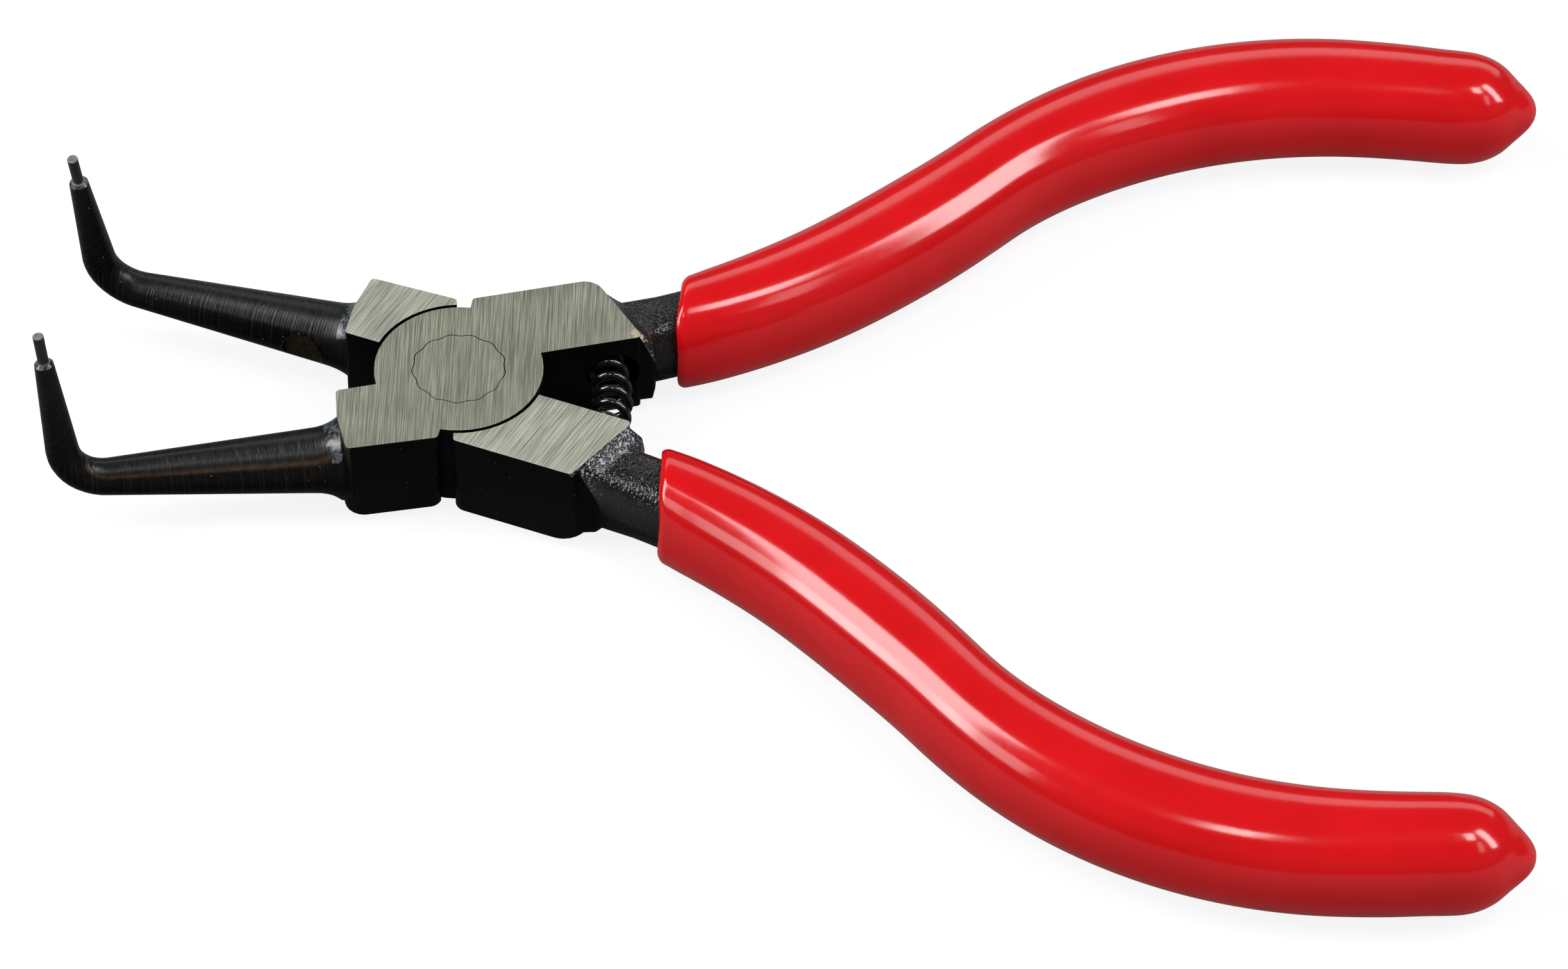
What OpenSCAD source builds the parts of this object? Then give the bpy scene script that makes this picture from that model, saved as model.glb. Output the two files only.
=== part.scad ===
// Bent circlip pliers for internal rings: two lapped arms turn on one flush rivet.
// Each arm is drawn with the pliers shut, then swung out to the open pose they rest in.
// Origin: on the rivet's axis, in the plane of the head's lower ground face.
// +X runs to the handle ends, +Z is the way the bent tips point. Sizes are in mm.

/* [Head] */
// Thickness between the two ground faces of the head.
head_t = 8.2; // [7:0.1:10]
// Radius of the lap disc of each arm.
disc_r = 6.9; // [6.2:0.05:7.6]
// Radial gap between a lap disc and the shoulders that curve round it.
lap_gap = 0.3; // [0.2:0.05:0.6]
// Gap between the two sliding lap faces.
lap_face_gap = 0.06; // [0.02:0.01:0.2]
// Distance from the centre line to a shoulder's inner flank, with the pliers shut.
flank_in = 0.3; // [0.2:0.05:0.6]
// Distance from the centre line to the outer flank of a jaw shoulder at the slot.
jaw_flank = 7.15; // [6.6:0.05:7.6]
// How much narrower the jaw shoulder is at its front end.
jaw_taper = 0.35; // [0:0.05:0.8]
// Distance from the centre line to the outer flank of a handle shoulder.
hand_flank = 7.5; // [7:0.05:8.2]
// Distance from the pivot to the front face of a jaw shoulder.
jaw_front = 10.7; // [9.5:0.1:12]
// Distance from the pivot to the inner rear corner of a handle shoulder.
hand_rear_in = 15.4; // [14.5:0.1:17]
// Distance from the pivot to the outer rear corner of a handle shoulder.
hand_rear_out = 12.9; // [11.5:0.1:14]
// Angle of the jaw side of the stop slot, from the centre line.
slot_jaw_angle = 66; // [60:0.5:70]
// Angle of the handle side of the stop slot, from the centre line.
slot_hand_angle = 70.5; // [66:0.5:76]
// Radius of the shoulders' corners at the upper face, seen from above.
corner_r = 0.35; // [0.2:0.05:0.6]
// Radius of the corners at the stop slots, at the lower face.
low_slot_r = 1.1; // [0.4:0.1:1.6]
// Radius of a jaw shoulder's front outer corner, at the lower face.
low_front_r = 1.6; // [0.4:0.1:2.4]
// Radius of a handle shoulder's rear outer corner, at the lower face.
low_rear_r = 2.2; // [0.4:0.1:3]
// Half of the angle between the arms in the open rest pose.
open_half = 17; // [12:0.5:19]

/* [Rivet] */
// Radius of the rivet's shank.
rivet_r = 2.75; // [2:0.05:3.2]
// Mean radius of the wavy upset head in the top arm.
rivet_head_r = 3.72; // [3.4:0.02:4.2]
// Depth of the wavy upset head.
rivet_head_t = 1.5; // [0.8:0.1:2.5]
// Height of the waves that stop the rivet from turning in the top arm.
wave_h = 0.09; // [0.02:0.01:0.2]
// Number of waves round the upset head.
wave_count = 13; // [8:1:20]
// Seam left round the upset head.
seam_gap = 0.08; // [0.02:0.01:0.15]
// Radial gap between the rivet's shank and its seat in the top arm.
seat_gap = 0.02; // [0.01:0.01:0.05]
// Radius of the countersunk head in the under arm.
sunk_r = 3.9; // [3.5:0.05:4.5]
// Radial running clearance of the under arm on the rivet.
run_gap = 0.04; // [0.02:0.01:0.1]

/* [Jaws] */
// Where a jaw's axis leaves its shoulder, beside the centre line.
jaw_root_y = 3.75; // [3.2:0.05:4.2]
// Height of the jaw's axis at the shoulder.
jaw_root_z = 3.82; // [3.4:0.02:4.4]
// Distance from the pivot to the elbow.
elbow_x = 32.6; // [28:0.05:40]
// Distance of the elbow from the centre line.
elbow_y = 1.72; // [1.2:0.05:2.4]
// Height of the elbow.
elbow_z = 4.2; // [3.6:0.05:5]
// Radius of the bend at the elbow, on the axis.
bend_r = 3.6; // [2.4:0.1:4.2]
// Jaw radius at the shoulder.
jaw_root_r = 2.82; // [2.4:0.02:3]
// Jaw radius at the elbow.
elbow_r = 1.54; // [1.3:0.02:1.9]
// Loss of radius through the bend.
bend_loss = 0.16; // [0:0.02:0.3]
// Radius of the upright leg at its top shoulder.
leg_top_r = 0.8; // [0.7:0.02:1.1]
// Height of the top shoulder of the upright leg.
leg_top_z = 16.95; // [14:0.05:22]
// Distance of the leg's top from the centre line.
leg_top_y = 0.38; // [0.2:0.02:0.8]
// Distance from the pivot to the leg's top.
leg_top_x = 33.65; // [28:0.05:41]
// Height of the small cone between leg and tip pin.
leg_cone = 0.28; // [0.1:0.02:0.8]
// Length of the flare between jaw and shoulder.
jaw_fillet = 2.2; // [0.8:0.1:3]
// Growth of the flare above and below the jaw.
flare_z = 0.95; // [0.4:0.05:0.95]
// Growth of the flare beside the jaw.
flare_y = 0.16; // [0.1:0.02:0.4]
// Sharpness of the flare's curve: more keeps it closer to the shoulder.
flare_curve = 2.4; // [1.5:0.1:3]
// Distance from the pivot to the flat spot on the under arm's jaw.
spot_x = 14.55; // [13.8:0.05:17]
// Height of the middle of that spot.
spot_z = 3.45; // [3:0.05:4.2]
// Radius of the spot.
spot_r = 1.75; // [1:0.05:2]
// Depth of the spot, cut from the jaw's inner side.
spot_depth = 0.45; // [0.1:0.05:0.8]

/* [Tip pins] */
// Radius of a tip pin.
pin_r = 0.45; // [0.35:0.05:0.6]
// Length of a tip pin that stands out of the leg.
pin_out = 2.75; // [1.5:0.05:3.5]
// Length of a tip pin's shank that is pressed into the leg.
pin_in = 3.2; // [2:0.1:5]
// Radius of that shank.
shank_r = 0.28; // [0.2:0.02:0.5]
// Width of the leg's flat rim round a tip pin.
pin_rim = 0.1; // [0.05:0.01:0.2]
// Chamfer on the free end of a tip pin.
pin_chamfer = 0.08; // [0.02:0.01:0.2]

/* [Handles] */
// Height of the middle plane of the handles.
mid_z = 3.8; // [3.4:0.05:4.4]
// Rise of the handle's end above that plane.
end_lift = 0.35; // [0:0.05:1]
// Distance from the pivot to where the handle's path starts.
path_x = 14; // [12:0.1:16]
// Distance from the centre line to where the handle's path starts.
path_y = 3.7; // [3:0.05:4.2]
// Direction of the handle's path at its start.
path_dir = 1.4; // [0:0.1:4]
// Length of the handle's path, from its start to the grip's nose.
path_len = 86.5; // [78:0.5:96]
// How far the forged step behind a shoulder runs back.
step_len = 1.3; // [1:0.05:1.8]
// Inset of that step from the shoulder's outer flank.
step_side = 0.75; // [0.5:0.05:1]
// Half width of the bare neck.
neck_a = 2.95; // [2.4:0.05:3.1]
// Half thickness of the bare neck.
neck_b = 3.25; // [2.6:0.05:3.6]
// Share of the neck's half width that the drafted sides lose at top and bottom.
draft = 0.16; // [0:0.01:0.3]
// Loss of the tang's half width from the neck to its end.
tang_slim = 0.4; // [0:0.05:0.8]

/* [Grips] */
// Path length at which the grip's front edge starts.
grip_start = 5.4; // [4.8:0.1:8]
// Half thickness of the grip.
grip_b = 4.8; // [4.4:0.05:5.4]
// Half width of the grip where it is widest.
grip_a = 4.95; // [4.7:0.05:5.5]
// How far the rounded front edge of the grip is drawn in.
lip_in = 0.7; // [0.3:0.05:0.75]
// Squareness of the grip's cross-section: 2 is an ellipse.
grip_square = 2.3; // [2.1:0.1:4]
// Length of the blunt nose at the grip's end.
nose_len = 7.4; // [5:0.1:8.4]
// Length of solid coating beyond the end of the steel tang.
nose_solid = 9; // [6:0.5:14]
// Gap between coating and tang.
coat_gap = 0.02; // [0.01:0.01:0.1]

/* [Return spring] */
// Distance from the pivot to the spring pockets.
pocket_x = 12.9; // [12:0.05:14]
// Height of the spring's axis.
spring_z = 4.3; // [3.8:0.05:4.6]
// Radius of a spring pocket.
pocket_r = 2.25; // [2:0.05:2.6]
// Depth of a spring pocket below the inner flank.
pocket_d = 4; // [3:0.1:5]
// Outer radius of the spring.
spring_r = 1.72; // [1.4:0.02:1.9]
// Wire diameter of the spring.
wire_d = 0.72; // [0.5:0.02:0.9]
// Number of turns between the two closed end turns.
turns = 9; // [6:1:12]

/* [Hidden] */
steel = [0.17, 0.17, 0.18];
ground = [0.62, 0.60, 0.57];
red = [0.78, 0.04, 0.07];
// The handle's path: share of its length and turn in degrees of each arc.
path_arcs = [[0.2532, 21.9], [0.1665, 7.25], [0.4, -47.6], [0.0693, -5], [0.111, 8]];
tang_len = path_len - nose_solid;
// Width of the grip: share of the path's length, and share of the widest half width.
grip_shape = [
    [0, 0.732], [0.06, 0.755], [0.097, 0.814], [0.206, 0.885], [0.327, 0.912], [0.434, 0.883],
    [0.572, 0.972], [0.674, 1], [0.769, 0.984], [0.861, 0.934], [0.913, 0.902], [1.04, 0.886]
];
// Nose of the grip: share of its length from the end, and share of the full section.
nose_shape = [
    [0, 0.06], [0.009, 0.125], [0.03, 0.2], [0.065, 0.285], [0.104, 0.355], [0.165, 0.45], [0.228, 0.54],
    [0.3, 0.65], [0.378, 0.757], [0.503, 0.872], [0.627, 0.942], [0.75, 0.98], [0.88, 0.995], [1, 1]
];
// Radius of the slight bow in the front face of a jaw shoulder.
front_bow_r = 2;
// Points round a handle's section, and round a jaw's.
ring_n = 28;
jaw_n = 24;
// How deep a skin starts inside the shoulder that it grows out of.
root_in = 1.2;
// How far the forged step keeps off the faces and flanks of its shoulder.
face_in = 0.02;
side_in = 0.12;
// Path lengths of the two bare rings of the neck, and the slant of their planes.
neck_stops = [[3.2, 0.32], [4.2, 0.38]];
// Number of stretches between the rings of a tang, which its grip's hollow shares.
tang_steps = 14;
// Number of stretches between the rings of a grip's outside.
body_steps = 26;

// Helpers for paths and skins

function unit(v) = v / norm(v);

// Slope of a table at row i, from the rows on both sides of it.
function slope_at(table, i) =
    let (a = table[max(0, i - 1)], b = table[min(len(table) - 1, i + 1)])
    (b[1] - a[1]) / (b[0] - a[0]);

// Value of a table at s, on a smooth curve through its rows.
function smooth(table, s, i = 0) =
    s <= table[0][0] ? table[0][1] :
    i >= len(table) - 1 ? table[len(table) - 1][1] :
    s > table[i + 1][0] ? smooth(table, s, i + 1) :
    let (h = table[i + 1][0] - table[i][0], t = (s - table[i][0]) / h)
    (1 + 2 * t) * (1 - t) * (1 - t) * table[i][1] + t * (1 - t) * (1 - t) * h * slope_at(table, i)
    + t * t * (3 - 2 * t) * table[i + 1][1] + t * t * (t - 1) * h * slope_at(table, i + 1);

// End of an arc of length d that starts at p in direction h and turns by a degrees.
function arc_end(p, h, d, a) =
    abs(a) < 0.0001 ? p + d * [cos(h), sin(h)] :
    p + d / (a * PI / 180) * [sin(h + a) - sin(h), cos(h) - cos(h + a)];

// Point and direction at length s along a chain of arcs.
function along(s, i = 0, p = [path_x, path_y], h = path_dir) =
    let (d = path_arcs[i][0] * path_len, turn = path_arcs[i][1], last = i == len(path_arcs) - 1)
    (s <= d || last) ?
        [arc_end(p, h, s, turn * s / d), h + turn * s / d] :
        along(s - d, i + 1, arc_end(p, h, d, turn), h + turn);

// A power that keeps the sign of its base.
function signed_pow(v, e) = sign(v) * pow(abs(v), e);

// Points of a rounded section: half sizes a and b, squareness q, side draft k.
function section(a, b, q, count, k = 0) = [
    for (i = [0 : count - 1])
        let (t = 360 * i / count, z = signed_pow(sin(t), 2 / q))
        [a * signed_pow(cos(t), 2 / q) * (1 - k * abs(z)), b * z]
];

// Height of the handle's middle plane at path length s.
function mid_at(s) = mid_z + end_lift * pow(max(0, s - path_len / 2) / (path_len / 2), 2);

// A section set upright across the path at length s, with its plane sheared by slant.
function placed(points, s, slant = 0) =
    let (at = along(s), c = cos(at[1]), n = sin(at[1]))
    [for (q = points) [
        at[0][0] - q[0] * n + q[0] * slant * c,
        at[0][1] + q[0] * c + q[0] * slant * n,
        mid_at(s) + q[1]]];

// Solid skin over a chain of rings that all have the same number of points.
module skin(rings) {
    count = len(rings[0]);
    last = len(rings) - 1;
    points = [for (r = rings) for (q = r) q];
    sides = [
        for (i = [0 : last - 1]) for (j = [0 : count - 1])
            let (a = i * count + j, b = i * count + (j + 1) % count)
            each [[a, a + count, b], [b, a + count, b + count]]
    ];
    first_cap = [for (j = [0 : count - 1]) j];
    last_cap = [for (j = [count - 1 : -1 : 0]) last * count + j];
    polyhedron(points = points, faces = concat([first_cap], sides, [last_cap]), convexity = 6);
}

// Corner points of an outline with each corner rounded by its own radius.
function rounded(corners, steps = 6) = [
    for (i = [0 : len(corners) - 1])
        let (
            c = corners[i],
            p = [c[0], c[1]],
            before = corners[(i + len(corners) - 1) % len(corners)],
            after = corners[(i + 1) % len(corners)],
            u = unit([before[0], before[1]] - p),
            v = unit([after[0], after[1]] - p),
            half = acos(u * v) / 2,
            r = c[2]
        )
        each r <= 0 ? [p] :
        let (
            mid = p + unit(u + v) * r / sin(half),
            from = p + u * r / tan(half) - mid,
            to = p + v * r / tan(half) - mid
        )
        [for (j = [0 : steps]) let (w = j / steps)
            mid + r * unit(from * (1 - w) + to * w)]
];

// Head of an arm, drawn shut, jaw on the -Y side and handle on the +Y side

// Outline of the jaw shoulder, with its slot corner and its front corner rounded by the given radii.
function jaw_outline(slot_r, front_r) = rounded([
    [-jaw_front + 1.3 * jaw_taper, -flank_in, corner_r],
    [-jaw_front, -0.45 * jaw_flank, front_bow_r],
    [-jaw_front + 0.3 * jaw_taper, -(jaw_flank - jaw_taper), front_r],
    [-jaw_flank / tan(slot_jaw_angle), -jaw_flank, slot_r],
    [0, -flank_in, 0]
]);

// Outline of the handle shoulder, with its slot corner and its rear corner rounded by the given radii.
function hand_outline(slot_r, rear_r) = rounded([
    [0, flank_in, 0],
    [hand_rear_in, flank_in, corner_r],
    [hand_rear_out, hand_flank, rear_r],
    [hand_flank / tan(slot_hand_angle), hand_flank, slot_r]
]);

// A flat outline at height z.
function at_height(outline, z) = [for (p = outline) [p[0], p[1], z]];

// Full-height jaw shoulder: its corners are crisp at the upper face and rounder below.
module jaw_shoulder() {
    skin([
        at_height(jaw_outline(low_slot_r, low_front_r), 0),
        at_height(jaw_outline(corner_r, corner_r), head_t)
    ]);
}

// Full-height handle shoulder, with the same kind of corners.
module hand_shoulder() {
    skin([
        at_height(hand_outline(low_slot_r, low_rear_r), 0),
        at_height(hand_outline(corner_r, corner_r), head_t)
    ]);
}

// Lap disc: in the upper half of the head, or in the lower half.
module lap_disc(upper) {
    h = (head_t - lap_face_gap) / 2;
    translate([0, 0, upper ? head_t - h : 0])
    cylinder(r = disc_r, h = h, $fn = 96);
}

// Space that the other arm's lap disc turns in.
module lap_space(upper) {
    h = (head_t + lap_face_gap) / 2;
    translate([0, 0, upper ? -1 : head_t - h])
    cylinder(r = disc_r + lap_gap, h = h + 1, $fn = 96);
}

// Axis of a jaw: shoulder, elbow, top of the upright leg.
jaw_root = [-jaw_front, -jaw_root_y, jaw_root_z];
elbow = [-elbow_x, -elbow_y, elbow_z];
leg_top = [-leg_top_x, -leg_top_y, leg_top_z];
jaw_dir = unit(elbow - jaw_root);
leg_dir = unit(leg_top - elbow);
bend_side = unit(cross(jaw_dir, leg_dir));
bend_angle = acos(jaw_dir * leg_dir);
bend_cut = bend_r * tan(bend_angle / 2);
bend_in = elbow - jaw_dir * bend_cut;
bend_mid = bend_in + cross(bend_side, jaw_dir) * bend_r;

// Ring about point p, square to direction d, with radius r and its own radius beside the bend.
function jaw_ring(p, d, r, side_r = 0) =
    let (up = cross(d, bend_side), beside = side_r > 0 ? side_r : r)
    [for (j = [0 : jaw_n - 1])
        p + beside * cos(360 * j / jaw_n) * bend_side + r * sin(360 * j / jaw_n) * up];

// Tapered jaw with its fillet, bend and upright leg, as one skin.
module jaw() {
    run = norm(bend_in - jaw_root);
    leg_from = elbow + leg_dir * bend_cut;
    leg_run = norm(leg_top - leg_from);
    slope = (jaw_root_r - elbow_r) / run;
    root_rings = [
        jaw_ring(jaw_root - jaw_dir * root_in, jaw_dir, jaw_root_r + flare_z, jaw_root_r + flare_y),
        for (t = [0, 0.08, 0.2, 0.35, 0.55, 0.8])
            let (own = jaw_root_r - slope * jaw_fillet * t, grow = pow(1 - t, flare_curve))
            jaw_ring(jaw_root + jaw_dir * jaw_fillet * t, jaw_dir,
                own + flare_z * grow, own + flare_y * grow)
    ];
    bar_rings = [
        for (t = [0.15, 0.5, 1])
            jaw_ring(jaw_root + jaw_dir * run * t, jaw_dir, jaw_root_r - slope * run * t)
    ];
    bend_rings = [
        for (t = [1 : 1 : 9])
            let (
                a = bend_angle * t / 10,
                d = jaw_dir * cos(a) + cross(bend_side, jaw_dir) * sin(a),
                p = bend_mid - cross(bend_side, d) * bend_r
            )
            jaw_ring(p, d, elbow_r - bend_loss * t / 10)
    ];
    leg_rings = [
        for (t = [0, 0.5, 1])
            jaw_ring(leg_from + leg_dir * (leg_run - leg_cone) * t, leg_dir,
                elbow_r - bend_loss + (leg_top_r - elbow_r + bend_loss) * t),
        jaw_ring(leg_top, leg_dir, pin_r + pin_rim)
    ];
    skin(concat(root_rings, bar_rings, bend_rings, leg_rings));
}

// Flat spot milled into the inner side of the under arm's jaw.
module jaw_spot() {
    at = (spot_x - jaw_front) / (elbow_x - jaw_front);
    axis_y = jaw_root_y + (elbow_y - jaw_root_y) * at;
    own_r = jaw_root_r + (elbow_r - jaw_root_r) * at;
    translate([-spot_x, own_r - axis_y - spot_depth, spot_z])
    rotate([-90, 0, 0])
    cylinder(r = spot_r, h = jaw_root_y, $fn = 48);
}

// Things drawn along the axis of the leg, with their own Z = 0 at its top.
module at_leg_top() {
    translate(leg_top)
    rotate([0, acos(leg_dir[2]), atan2(leg_dir[1], leg_dir[0])])
    children();
}

// Hole for a tip pin.
module tip_hole() {
    at_leg_top()
    translate([0, 0, -pin_in])
    cylinder(r = shank_r, h = pin_in + 1, $fn = 32);
}

// Tip pin with a chamfered free end.
module tip_pin() {
    at_leg_top() {
        translate([0, 0, -pin_in])
        cylinder(r = shank_r, h = pin_in + 0.5, $fn = 32);
        cylinder(r = pin_r, h = pin_out - pin_chamfer, $fn = 32);
        translate([0, 0, pin_out - pin_chamfer])
        cylinder(r1 = pin_r, r2 = pin_r - pin_chamfer, h = pin_chamfer, $fn = 32);
    }
}

// Handle of an arm, drawn shut

// Section laid in a plane that leans like the rear edge of the shoulder.
function lean_ring(x, low, high, z_low, z_high, q) =
    let (lean = (hand_rear_in - hand_rear_out) / (hand_flank - flank_in))
    [for (s = section((high - low) / 2, (z_high - z_low) / 2, q, ring_n))
        let (y = (low + high) / 2 + s[0])
        [x - (y - flank_in) * lean, y, (z_low + z_high) / 2 + s[1]]];

// Half width and half thickness of the bare tang at path length s.
tang_from = grip_start + neck_a;
function tang_a(s) = neck_a - tang_slim * max(0, s - tang_from) / tang_len;
function tang_b(s) = neck_b - tang_slim * max(0, s - tang_from) / tang_len;

// Ring of the tang at path length s, grown by a gap.
function tang_ring(s, gap = 0, slant = 0) =
    placed(section(tang_a(s) + gap, tang_b(s) + gap, 4, ring_n, draft), s, slant);

tang_stops = [for (i = [0 : tang_steps]) tang_from + (tang_len - tang_from) * i / tang_steps];

// Ring at the rounded end of the tang, grown by a gap.
function tang_end(gap = 0) =
    placed(section(0.4 * neck_a + gap, 0.55 * neck_b + gap, 3, ring_n, draft), tang_len + 0.3 * neck_a + gap);

// Slant of the grip's front edge, which lies square to X in the open pose.
lip_slant = tan(open_half + along(grip_start)[1]);

// Forged step behind the shoulder, bare neck and tang, as one skin.
module tang() {
    low = flank_in + side_in;
    high = hand_flank - step_side;
    bottom = mid_z - neck_b;
    top = mid_z + neck_b;
    skin(concat(
        [
            lean_ring(hand_rear_in - root_in, low, high, face_in, head_t - face_in, 9),
            lean_ring(hand_rear_in - side_in, low, high, face_in, head_t - face_in, 9),
            lean_ring(hand_rear_in + 0.7 * step_len, low - 0.07, high - 0.5, bottom - 0.4, top + 0.15, 10),
            lean_ring(hand_rear_in + step_len, low + 0.23, high - 0.6, bottom, top, 6)
        ],
        [for (n = neck_stops) tang_ring(n[0], 0, n[1])],
        [tang_ring(grip_start, 0, lip_slant)],
        [for (s = tang_stops) tang_ring(s)],
        [tang_end()]
    ));
}

// Length over which the grip's rings turn from the slant of its front edge to square.
lip_turn = 8;

// Ring of the grip's outside at path length s, drawn in by an inset.
function grip_ring(s, inset = 0, share = 1, slant = 0) =
    placed(section((grip_a * smooth(grip_shape, s / path_len) - inset) * share, (grip_b - inset) * share,
        grip_square, ring_n), s, slant);

// Dipped coating: from the closed end of its hollow, out over the lip, to the nose.
module grip() {
    nose_from = path_len - nose_len;
    hollow = [
        tang_end(coat_gap),
        for (i = [tang_steps : -1 : 0]) tang_ring(tang_stops[i], coat_gap),
        tang_ring(grip_start, coat_gap, lip_slant)
    ];
    lip = [
        for (t = [0, 0.12, 0.3, 0.6, 1])
            grip_ring(grip_start + t, lip_in * pow(1 - t, 2), 1, lip_slant * (1 - t / lip_turn))
    ];
    body = [
        for (i = [1 : body_steps])
            let (s = grip_start + 1 + (nose_from - grip_start - 1) * i / body_steps)
            grip_ring(s, 0, 1, lip_slant * max(0, 1 - (s - grip_start) / lip_turn))
    ];
    nose = [
        for (i = [len(nose_shape) - 2 : -1 : 0])
            grip_ring(path_len - nose_shape[i][0] * nose_len, 0, nose_shape[i][1])
    ];
    skin(concat(hollow, lip, body, nose));
}

// Pivot

// Outline of the wavy upset head, grown by a gap.
function wave_outline(gap) = [
    for (i = [0 : 6 * wave_count - 1])
        let (
            a = 60 * i / wave_count,
            r = rivet_head_r + gap + wave_h * sin(6 * 10 * i) + 0.35 * wave_h * sin(3 * a + 40)
        )
        r * [cos(a), sin(a)]
];

// Rivet: wavy head flush with the top arm, shank, countersunk head flush below.
module rivet() {
    color(ground)
    open_top() {
        translate([0, 0, head_t - rivet_head_t])
        linear_extrude(rivet_head_t)
        polygon(wave_outline(0));
        cylinder(r = rivet_r, h = head_t - rivet_head_t / 2, $fn = 64);
        cylinder(r1 = sunk_r, r2 = rivet_r, h = sunk_r - rivet_r, $fn = 64);
    }
}

// Seat of the rivet in the top arm, which holds it fast.
module rivet_seat() {
    translate([0, 0, head_t - rivet_head_t])
    linear_extrude(rivet_head_t + 1)
    polygon(wave_outline(seam_gap));
    cylinder(r = rivet_r + seat_gap, h = head_t, $fn = 64);
}

// Bore of the under arm, which turns on the rivet.
module rivet_bore() {
    translate([0, 0, -1])
    cylinder(r = rivet_r + run_gap, h = head_t, $fn = 64);
    translate([0, 0, -1])
    cylinder(r1 = sunk_r + run_gap + 1, r2 = rivet_r + run_gap, h = sunk_r - rivet_r + 1, $fn = 64);
}

// Blind pocket for one end of the spring, square to the inner flank.
module spring_pocket() {
    translate([pocket_x, flank_in - 1, spring_z])
    rotate([-90, 0, 0])
    cylinder(r = pocket_r, h = pocket_d + 1, $fn = 48);
}

// Arms

// One arm, drawn shut, with its lap disc in the upper or the lower half.
module arm(upper) {
    difference() {
        union() {
            difference() {
                union() {
                    jaw_shoulder();
                    hand_shoulder();
                    jaw();
                    tang();
                }
                lap_space(upper);
            }
            lap_disc(upper);
        }
        if (upper) rivet_seat(); else rivet_bore();
        if (!upper) jaw_spot();
        spring_pocket();
        tip_hole();
    }
}

// Swing to the open pose: the top arm as drawn, the under arm mirrored.
module open_top() {
    rotate(open_half)
    children();
}

module open_under() {
    rotate(-open_half)
    mirror([0, 1, 0])
    children();
}

module top_arm() {
    color(steel)
    open_top()
    arm(true);
}

module under_arm() {
    color(steel)
    open_under()
    arm(false);
}

module top_tip() {
    color(ground)
    open_top()
    tip_pin();
}

module under_tip() {
    color(ground)
    open_under()
    tip_pin();
}

module top_grip() {
    color(red)
    open_top()
    grip();
}

module under_grip() {
    color(red)
    open_under()
    grip();
}

// Return spring: an arc about the pivot between two straight ends in the pockets

// The spring's middle bows inward by this much.
spring_bow = 0.4;
// Gap between a spring end and its pocket's floor.
spring_end_gap = 0.05;
// Rise of a closed end turn, as a multiple of the wire.
shut_rise = 1.04;
spring_path_r = pocket_x - spring_bow;
spring_arc = spring_path_r * open_half * PI / 180;
spring_half = spring_arc + flank_in + pocket_d;
coil_r = spring_r - wire_d / 2;

// Point, forward direction and sideways direction of the spring's axis at length s.
function spring_axis(s) =
    let (
        bow = min(max(s, -spring_arc), spring_arc),
        a = bow / spring_path_r * 180 / PI,
        out = [cos(a), sin(a), 0],
        on = [-sin(a), cos(a), 0]
    )
    [spring_path_r * out + (s - bow) * on + [0, 0, spring_z], on, out];

// Length along the spring's axis after t turns; the first and last turn are closed.
function spring_rise(t) =
    let (
        first = -spring_half + wire_d / 2 + spring_end_gap,
        shut = wire_d * shut_rise,
        pitch = (-2 * first - 2 * shut) / turns
    )
    first + shut * min(t, 1) + pitch * min(max(t - 1, 0), turns) + shut * max(t - 1 - turns, 0);

// Point of the wire's centre line after t turns.
function wire_at(t) =
    let (f = spring_axis(spring_rise(t)))
    f[0] + coil_r * (cos(360 * t) * f[2] + sin(360 * t) * [0, 0, 1]);

module spring() {
    steps = 16;
    sides = 8;
    total = (turns + 2) * steps;
    color(steel)
    skin([
        for (i = [0 : total])
            let (
                t = i / steps,
                f = spring_axis(spring_rise(t)),
                out = cos(360 * t) * f[2] + sin(360 * t) * [0, 0, 1],
                ahead = unit(wire_at(t + 0.01) - wire_at(t - 0.01)),
                side = unit(cross(ahead, out)),
                flat = unit(cross(side, ahead))
            )
            [for (j = [0 : sides - 1])
                wire_at(t) + wire_d / 2 * (cos(360 * j / sides) * flat + sin(360 * j / sides) * side)]
    ]);
}

top_arm();
under_arm();
top_tip();
under_tip();
rivet();
spring();
top_grip();
under_grip();
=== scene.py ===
# %% [markdown]
# # Bent circlip pliers
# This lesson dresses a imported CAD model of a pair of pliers: two forged arms that lap at a
# rivet, bent jaws with pins in their ends, a return spring and two dipped grips. The CAD
# solids stay the measure of everything. Each piece made here sits where its solid sits, in
# metres, and rides on the same moving body, so the pliers still open and shut.

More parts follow.
